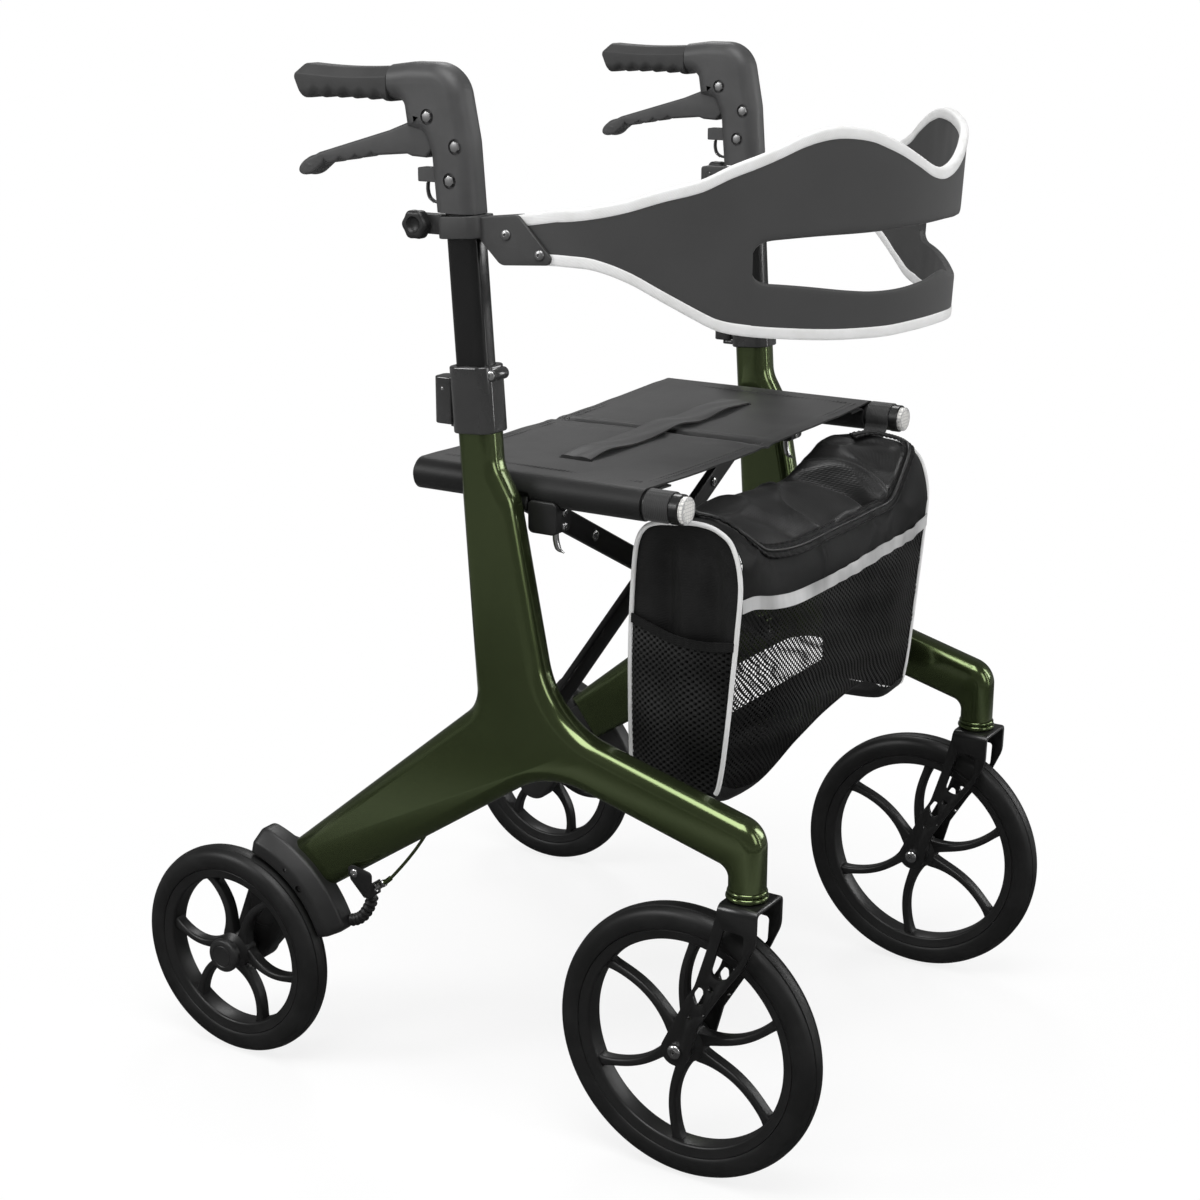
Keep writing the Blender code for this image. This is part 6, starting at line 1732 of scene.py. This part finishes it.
def makeSidePanel(side):
    word = sideWord(side)
    b = bag
    edge = side * b["half"]
    low = ringPoint(edge, 19.5).z + 0.0005
    high = max(ringPoint(edge, 7 + i / 10).z for i in range(40)) - 0.0004
    loop = [ringPoint(edge, i / 14) for i in range(21 * 14)]

    def span(z):
        crossings = []
        for p, q in zip(loop, loop[1:] + loop[:1]):
            if (p.z - z) * (q.z - z) <= 0 and p.z != q.z:
                crossings.append(p.y + (q.y - p.y) * (z - p.z) / (q.z - p.z))
        return max(crossings), min(crossings)

    def hemZ(s):
        y = -0.140 + (-0.2375 + 0.140) * s
        return lineAt(sorted((-py, pz) for py, pz in b["hem"]), -y)

    def hemEdge(lift):
        return lambda s: hemZ(s) + lift

    def grid(start, end, rows, columns, bulge):
        lines = []
        for j in range(rows + 1):
            t = j / rows
            line = []
            for i in range(columns + 1):
                s = i / columns
                level = start(s) * (1 - t) + end(s) * t
                backY, frontY = span(min(max(level, low), high))
                x = side * (b["half"] - 0.0006 + bulge(s, level))
                line.append(Vector((x, backY + (frontY - backY) * s, level)))
            lines.append(line)
        return lines

    def folds(s, z):
        fade = between(0.33, 0.40, z) * between(0.560, 0.530, z) * math.sin(math.pi * s) ** 0.6
        ripple = 0.0024 * math.sin(s * 13.5 + 0.6) + 0.0011 * math.sin(s * 27 + z * 30)
        ripple += 0.0012 * noise.noise(Vector((s * 5, z * 25, side * 3.0)))
        return fade * (ripple - 0.0022)

    def belly(s, z):
        share = min(max((z - low) / (hemZ(s) - low), 0), 1)
        puff = math.sin(math.pi * s) ** 0.5 * (0.3 + 0.7 * math.sin(math.pi * (0.15 + 0.7 * share)))
        return 0.0012 + 0.0048 * puff + 0.0007 * math.sin(s * 15 + z * 45) * math.sin(math.pi * s)

    def hemBelly(s, z):
        return belly(s, z) + 0.0007 + 0.0003 * math.sin(s * 90)

    pieces = (("BagSide", (always(low), always(high), 70, 44, folds), b["wall"], -1, panelNylon),
              ("BagPocket", (always(low + 0.003), hemZ, 54, 40, belly), 0.0007, -1, pocketNet),
              ("BagHem", (hemEdge(-0.0075), hemEdge(0.0004), 6, 60, hemBelly), 0.0016, 0.3, hemCloth))
    for name, sizes, wall, offset, material in pieces:
        bagRide(thicken(openSkin(word + name, grid(*sizes)), wall, offset), material)

    line = [ringPoint(edge, 0.12 + (16.9 - 0.12) * i / 220) + Vector((side * 0.0010, 0, 0))
            for i in range(221)]
    bagRide(tube(word + "BagPiping", line, b["piping"], 14), whitePiping)
    seam = [p + Vector((-side * 0.0032, 0, 0)) for p in line]
    bagRide(tube(word + "BagPipingSeam", seam, 0.0008, 8), hemCloth)


def zipLine(offset, lift):
    count = bag["teeth"]
    points = smoothLine([Vector((x, v, 0)) for x, v in bag["zip"]], count)
    line = []
    for i, p in enumerate(points):
        q = points[min(i + 1, count - 1)] - points[max(i - 1, 0)]
        pucker = 0.0005 * math.sin(i * 1.9) * abs(offset) / 0.006
        normal = skinNormal(p.x, p.y)
        here = ringPoint(p.x, p.y) + normal * (lift + pucker + lidLift(p.x, p.y))
        following = ringPoint(p.x + q.x * 0.5, p.y + q.y * 0.5)
        along = (following - ringPoint(p.x - q.x * 0.5, p.y - q.y * 0.5)).normalized()
        line.append(here + along.cross(normal).normalized() * offset)
    return line


def lidLift(x, v):
    p = ringPoint(x, v)
    share = insideZip(x, v)
    shoulder = between(5.0, 7.0, v) * between(12.6, 11.2, v)
    inside = share * (crumple(p.x, p.y, p.z) + lidFold(x, v) + 0.0015)
    return inside + (1 - share) * shoulder * 0.75 * crumple(p.x + 1, p.y, p.z)


def makeBag():
    # the skin in pieces, each between two v lines
    b = bag

    def below(offset):
        return lambda x: stripV(x, offset)

    def lidRise(x, v, p):
        return lidLift(x, v)

    def backRise(x, v, p):
        return -0.0004

    def baseRise(x, v, p):
        return 0.0006 + 0.0006 * noise.noise(Vector((x * 20, p.y * 20, 3)))

    def frontRise(x, v, p):
        return 0.0012 * noise.noise(Vector((x * 14, p.z * 12, 5))) + 0.0005 * math.sin(p.z * 210 + x * 40)

    def tapeRise(x, v, p):
        ripple = 0.0008 * math.sin(x * 210 + 1.3 * math.sin(x * 47)) * between(-0.06, 0.04, x)
        return 0.0018 + ripple + frontRise(x, v, p) + max(lidLift(x, v), 0)

    def offLid(x, v):
        return not onLid(x, v)

    top = skinSheet("bagLid", 150, always(5.2), below(-0.004), 90, lidRise, keep=onLid)
    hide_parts("bag")
    bagRide(top, bagNylon)
    bagRide(skinSheet("bagYoke", 150, always(5.2), below(-0.004), 90, lidRise, keep=offLid), yokeCloth)
    bagRide(skinSheet("bagFrontNet", 120, below(-0.003), always(16.6), 60, frontRise, 0.00015), bagNet)
    bagRide(skinSheet("bagBackNet", 90, always(0.3), always(5.25), 40, backRise, 0.00015), openNet)
    bagRide(skinSheet("bagBase", 110, always(16.4), always(21.4), 30, baseRise), hemCloth)
    bagRide(skinSheet("bagStrip", 150, below(0.0), below(-b["stripHeight"]), 6, tapeRise, 0.0007), tape)

    edge = b["zipTape"]
    rows = [zipLine(edge * k / 4, 0.0030) for k in range(-4, 5)]
    bagRide(thicken(openSkin("bagZipTape", rows), 0.0010), hemCloth)
    for name, offset in (("bagZipEdgeOuter", edge), ("bagZipEdgeInner", -edge)):
        bagRide(tube(name, zipLine(offset, 0.0033), 0.0010, 8), hemCloth)
    teeth = [1 + 0.22 * (i % 2) for i in range(b["teeth"])]
    bagRide(tube("bagZipTeeth", zipLine(0.0, 0.0040), 0.0016, 8, teeth), moulded)
    for side in (right, left):
        makeSidePanel(side)
        makeBagLoop(side)


def makeBagLoop(side):
    # the strap that hangs the bag from a rail
    y = ahead(sum(bag["loopEdges"]) / 2)
    r = railRadius + gap + 0.0011
    whole = smoothLine([Vector((side * u, 0, w)) for u, w in bag["loopStart"]], 16)
    path = [(p.x, p.z) for p in whole[:-1]]
    path += arc((side * railX, railZ), r, 90 + side * 112, 90 - side * 140, 44)
    rows = []
    for j in range(9):
        across = -1 + 2 * j / 8
        rows.append([(u, y + across * bag["loopHalf"], w) for u, w in path])
    strap = thicken(openSkin(sideWord(side) + "BagLoop", rows), 0.0016)
    dress(strap, strapWeb, "front_cross" if side < 0 else "rear_cross")


# backrest band

band = {
    "x": 0.2450, "armStart": 0.351, "armEnd": 0.300, "reach": 0.230, "power": 1.55, "nose": 0.030,
    "lean": 0.05, "thickness": 0.0064, "binding": 0.0104, "slotEnd": 0.170, "slotCorner": 0.014,
    "slotMiddle": 0.7775,
    "top": [(-0.245, 0.8190), (-0.230, 0.8269), (-0.215, 0.8360), (-0.197, 0.8439), (-0.182, 0.8544),
            (-0.165, 0.8632), (-0.155, 0.8687), (-0.140, 0.8771), (-0.125, 0.8819), (-0.111, 0.8828),
            (-0.091, 0.8794), (-0.077, 0.8736), (-0.063, 0.8670), (-0.046, 0.8576), (-0.029, 0.8484),
            (-0.014, 0.8451), (0.000, 0.8472), (0.015, 0.8525), (0.032, 0.8599), (0.048, 0.8668),
            (0.065, 0.8715), (0.085, 0.8748), (0.104, 0.8776), (0.129, 0.8808), (0.151, 0.8809),
            (0.170, 0.8750), (0.184, 0.8650), (0.195, 0.8535), (0.215, 0.8390), (0.230, 0.8270),
            (0.245, 0.8190)],
    "bottom": [(-0.035, 0.7146), (0.000, 0.7160), (0.035, 0.7146), (0.065, 0.7127), (0.088, 0.7128),
               (0.115, 0.7138), (0.144, 0.7166), (0.170, 0.7204), (0.187, 0.7254), (0.199, 0.7347),
               (0.215, 0.7503), (0.228, 0.7648), (0.239, 0.7745), (0.245, 0.7765)],
    "slotHigh": [(-0.031, 0.8014), (0.000, 0.8026), (0.031, 0.8014), (0.084, 0.7986), (0.127, 0.7977),
                 (0.153, 0.7962), (0.170, 0.7945)],
    "slotLow": [(-0.025, 0.7548), (0.000, 0.7600), (0.025, 0.7548), (0.054, 0.7506), (0.081, 0.7501),
                (0.104, 0.7527), (0.135, 0.7580), (0.157, 0.7612), (0.170, 0.7620)],
}


def bandSpot(place):
    # (x, y, how far along the arm) for place from -1 to 1; the last tenth on each side runs straight back
    b = band
    side = 1 if place > 0 else -1
    share = abs(place)
    if share > 0.9:
        back = (share - 0.9) / 0.1
        return side * b["x"], ahead(b["armStart"] + (b["armEnd"] - b["armStart"]) * back), back
    x = b["x"] * math.sin(math.pi / 2 * share / 0.9) ** (2 / b["power"])
    wide = (math.hypot(x, b["nose"]) / math.hypot(b["x"], b["nose"])) ** b["power"]
    return side * x, ahead(b["armStart"] + b["reach"] * max(1 - wide, 0) ** (1 / b["power"])), 0.0


def bandEdges(place):
    x, _, back = bandSpot(place)
    return lineAt(band["bottom"], abs(x)) - 0.0010 * back, lineAt(band["top"], x) - 0.0085 * back


def bandNormal(place):
    step = 0.004
    x1, y1, _ = bandSpot(max(place - step, -1))
    x2, y2, _ = bandSpot(min(place + step, 1))
    run = Vector((x2 - x1, y2 - y1, 0))
    if run.length < 1e-7:
        run = Vector((1, 0, 0))
    run.normalize()
    return Vector((run.y, -run.x, 0))


def bandPoint(place, z, out):
    # a place on the band, which leans outwards a little in front of the arms
    x, y, _ = bandSpot(place)
    lean = band["lean"] * (z - 0.80) * between(0.9, 0.6, abs(place))
    return Vector((x, y, z)) + bandNormal(place) * (lean + out)


def slotEdge(place, up):
    b = band
    x = abs(bandSpot(place)[0])
    edge = lineAt(b["slotHigh" if up else "slotLow"], x)
    reach = max(x - b["slotEnd"] + b["slotCorner"], 0) / b["slotCorner"]
    return b["slotMiddle"] + (edge - b["slotMiddle"]) * max(1 - reach ** 2.6, 0) ** (1 / 2.6)


def bandBody(name, places, low, high, rows):
    # a padded strip: outer and inner skins that meet in rounded rims
    rings = []
    half = band["thickness"] / 2
    heights = [(j / rows, 1) for j in range(rows + 1)] + [(j / rows, -1) for j in range(rows - 1, 0, -1)]
    for place in places:
        bottom, top = low(place), high(place)
        ring = []
        for t, face in heights:
            z = bottom + (top - bottom) * t
            swell = half * (1 - abs(2 * t - 1) ** 16) ** 0.5
            wrinkle = 0.0005 * noise.noise(Vector((place * 22, 3.0, z * 22))) if face < 0 else 0
            ring.append(bandPoint(place, z, face * (swell + wrinkle)))
        rings.append(ring)
    return loft(name, rings, angle=70)


def bindingTube(name, places, edge, sign):
    # a folded tape over the rim, seen as a pale line on both faces
    rings = []
    a, deep = band["binding"] / 2, band["thickness"] / 2 + 0.0007
    for place in places:
        middle = edge(place) - sign * (a - 0.0012)
        ring = []
        for k in range(28):
            t = 2 * math.pi * k / 28
            u, w = math.cos(t), math.sin(t)
            ring.append(bandPoint(place, middle + sign * a * math.copysign(abs(u) ** 0.5, u),
                                  deep * math.copysign(abs(w) ** 0.6, w)))
        rings.append(ring)
    return loft(name, rings, angle=60)


def makeBand():
    b = band
    count = 300
    places = [-1 + 2 * i / count for i in range(count + 1)]
    slotPlaces = [p for p in places if abs(bandSpot(p)[0]) < b["slotEnd"] - 0.0004]
    first, last = slotPlaces[0], slotPlaces[-1]

    def low(place):
        return bandEdges(place)[0]

    def high(place):
        return bandEdges(place)[1]

    inner = [p for p in places if first <= p <= last]
    upper = bandBody("bandUpper", inner, lambda p: slotEdge(p, True), high, 40)
    lower = bandBody("bandLower", inner, low, lambda p: slotEdge(p, False), 24)
    rightEnd = bandBody("bandRightEnd", [p for p in places if p <= first], low, high, 44)
    leftEnd = bandBody("bandLeftEnd", [p for p in places if p >= last], low, high, 44)
    whole = carve(upper, lower, rightEnd, leftEnd, operation="UNION")
    whole.name = "backrestBand"
    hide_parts("backrest_band")
    whole.data.materials.clear()
    whole.data.materials.append(bandFabric)
    pieces = [whole]
    for name, edge, sign in (("bandBindingTop", high, 1), ("bandBindingBottom", low, -1)):
        trim = bindingTube(name, places[3:-3], edge, sign)
        trim.data.materials.append(whiteBinding)
        pieces.append(trim)
    for piece in pieces:
        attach(piece, "right_handle")
        flatten(piece, "band")


# camera, floor and light

studio = {
    "lens": 65.365, "spot": (-1.7095, -1.0475, 1.0154), "back": (-0.8147, -0.5051, 0.2848), "ambient": 0.30,
    "mirrored": 0.12, "floorRadius": 9, "mirroredGlowDim": 0.055, "mirroredGlowBright": 0.50,
    # name: where it stands, what it faces, width, height, power
    "lamps": {
        "overhead": ((-0.9, -0.5, 2.7), (0, 0, 0.4), 1.6, 1.6, 46),
        "keyLeft": ((-2.2, 1.7, 1.9), (0, 0, 0.5), 0.8, 1.2, 30),
        "frontRight": ((-0.3, -2.8, 1.5), (0, 0, 0.5), 0.8, 1.6, 13),
        "rimBehind": ((1.9, 1.3, 2.9), (0, 0, 0.5), 0.7, 1.4, 22),
        "rimFront": ((2.2, -1.8, 1.2), (0, 0, 0.5), 0.5, 1.4, 14),
        "streakRight": ((1.3, -2.5, 0.9), (0, 0, 0.5), 0.16, 1.8, 6),
    },
}


def makeCamera():
    cam = bpy.data.objects.new("camera", bpy.data.cameras.new("camera"))
    bpy.context.scene.collection.objects.link(cam)
    cam.data.lens = studio["lens"]
    cam.data.sensor_width = 36
    cam.location = studio["spot"]
    cam.rotation_euler = Vector(studio["back"]).to_track_quat("Z", "Y").to_euler()
    bpy.context.scene.camera = cam


def makeFloor():
    reach = studio["floorRadius"]
    floor = turned("floor", [(0, -0.0005), (reach, -0.0005)], (0, 0, 0), steps=96)
    f = Finish("paper", Roughness=0.9, Specular_IOR_Level=0.0)
    f.shader.inputs["Base Color"].default_value = (*looks["paper"], 1)
    glow, dim, bright = (f.node("ShaderNodeEmission", {}, {"Color": (1, 1, 1, 1), "Strength": power})
                         for power in (1.0, studio["mirroredGlowDim"], studio["mirroredGlowBright"]))
    distance = f.node("ShaderNodeVectorMath", {"operation": "LENGTH"}, {0: f.place()}, 1)
    path = f.node("ShaderNodeLightPath").socket.node
    rays = ("Is Camera Ray", "Is Glossy Ray", "Is Transmission Ray")
    camera, glossy, through = (Wire(f, path.outputs[ray]) for ray in rays)
    # to the camera the paper glows white, a little less close to the walker, where its shadow shows
    share = f.span(distance, 0.80, 1.0, 0.30, 0.72) * camera.maths("MAXIMUM", through)
    lit = f.node("ShaderNodeMixShader", {}, {0: share, 1: Wire(f, f.shader.outputs[0]), 2: glow})
    # painted reflection: the paper glows only to glossy rays, pale close by, dark from 1.25 m, paler again
    # far out, as with black cards
    near = f.span(distance, 0, 1, 0.80, 0.98) * f.span(distance, 0.80, 0, 1.04, 1.26)
    far = f.span(distance, 0, 0.34, 1.35, 2.0)
    seen = f.node("ShaderNodeMixShader", {}, {0: near + far, 1: dim, 2: bright})
    blended = f.node("ShaderNodeMixShader", {}, {0: glossy, 1: lit, 2: seen})
    f.tree.links.new(blended.socket, f.tree.nodes["Material Output"].inputs["Surface"])
    floor.data.materials.append(f.material)


def makeWorld():
    world = bpy.data.worlds.new("studio")
    bpy.context.scene.world = world
    world.use_nodes = True
    tree = world.node_tree
    background = tree.nodes["Background"]
    background.inputs["Color"].default_value = (1, 1, 1, 1)
    path = tree.nodes.new("ShaderNodeLightPath")
    first, second = (tree.nodes.new("ShaderNodeMix") for _ in range(2))
    first.inputs[2].default_value = studio["ambient"]
    rays = ((first, "Is Glossy Ray", studio["mirrored"]), (second, "Is Camera Ray", 1.0))
    for choice, ray, strength in rays:
        tree.links.new(path.outputs[ray], choice.inputs[0])
        choice.inputs[3].default_value = strength
    tree.links.new(first.outputs[0], second.inputs[2])
    tree.links.new(second.outputs[0], background.inputs["Strength"])


def softbox(name, spot, target, width, height, power):
    lamp = bpy.data.lights.new(name, "AREA")
    lamp.shape = "RECTANGLE"
    lamp.size = width
    lamp.size_y = height
    lamp.energy = power
    made = put(name, lamp)
    made.location = spot
    made.rotation_euler = (Vector(spot) - Vector(target)).to_track_quat("Z", "Y").to_euler()


def makeLights():
    for name, sizes in studio["lamps"].items():
        softbox(name, *sizes)


def main():
    bpy.context.scene.view_settings.view_transform = "Standard"
    makeCamera()
    makeFloor()
    makeWorld()
    makeLights()
    print("camera, floor and lights set")
    for side in (right, left):
        makeSideFrame(side)
        makeCaster(side)
        makeFrontWheel(side)
        makeRearWheel(side)
        makeBrake(side)
        makeBrakeCable(side)
        makeClamp(side)
        makeHandle(side)
        makeBracket(side)
        makeRest(side)
        print(sideWord(side), "side made")
    makeCross()
    makeRail(right, "front_cross")
    makeRail(left, "rear_cross")
    print("cross and rails made")
    makeSeat()
    makeStrap()
    print("seat made")
    makeBag()
    print("bag made")
    makeBand()
    print("band made")


main()
bpy.context.view_layer.update()
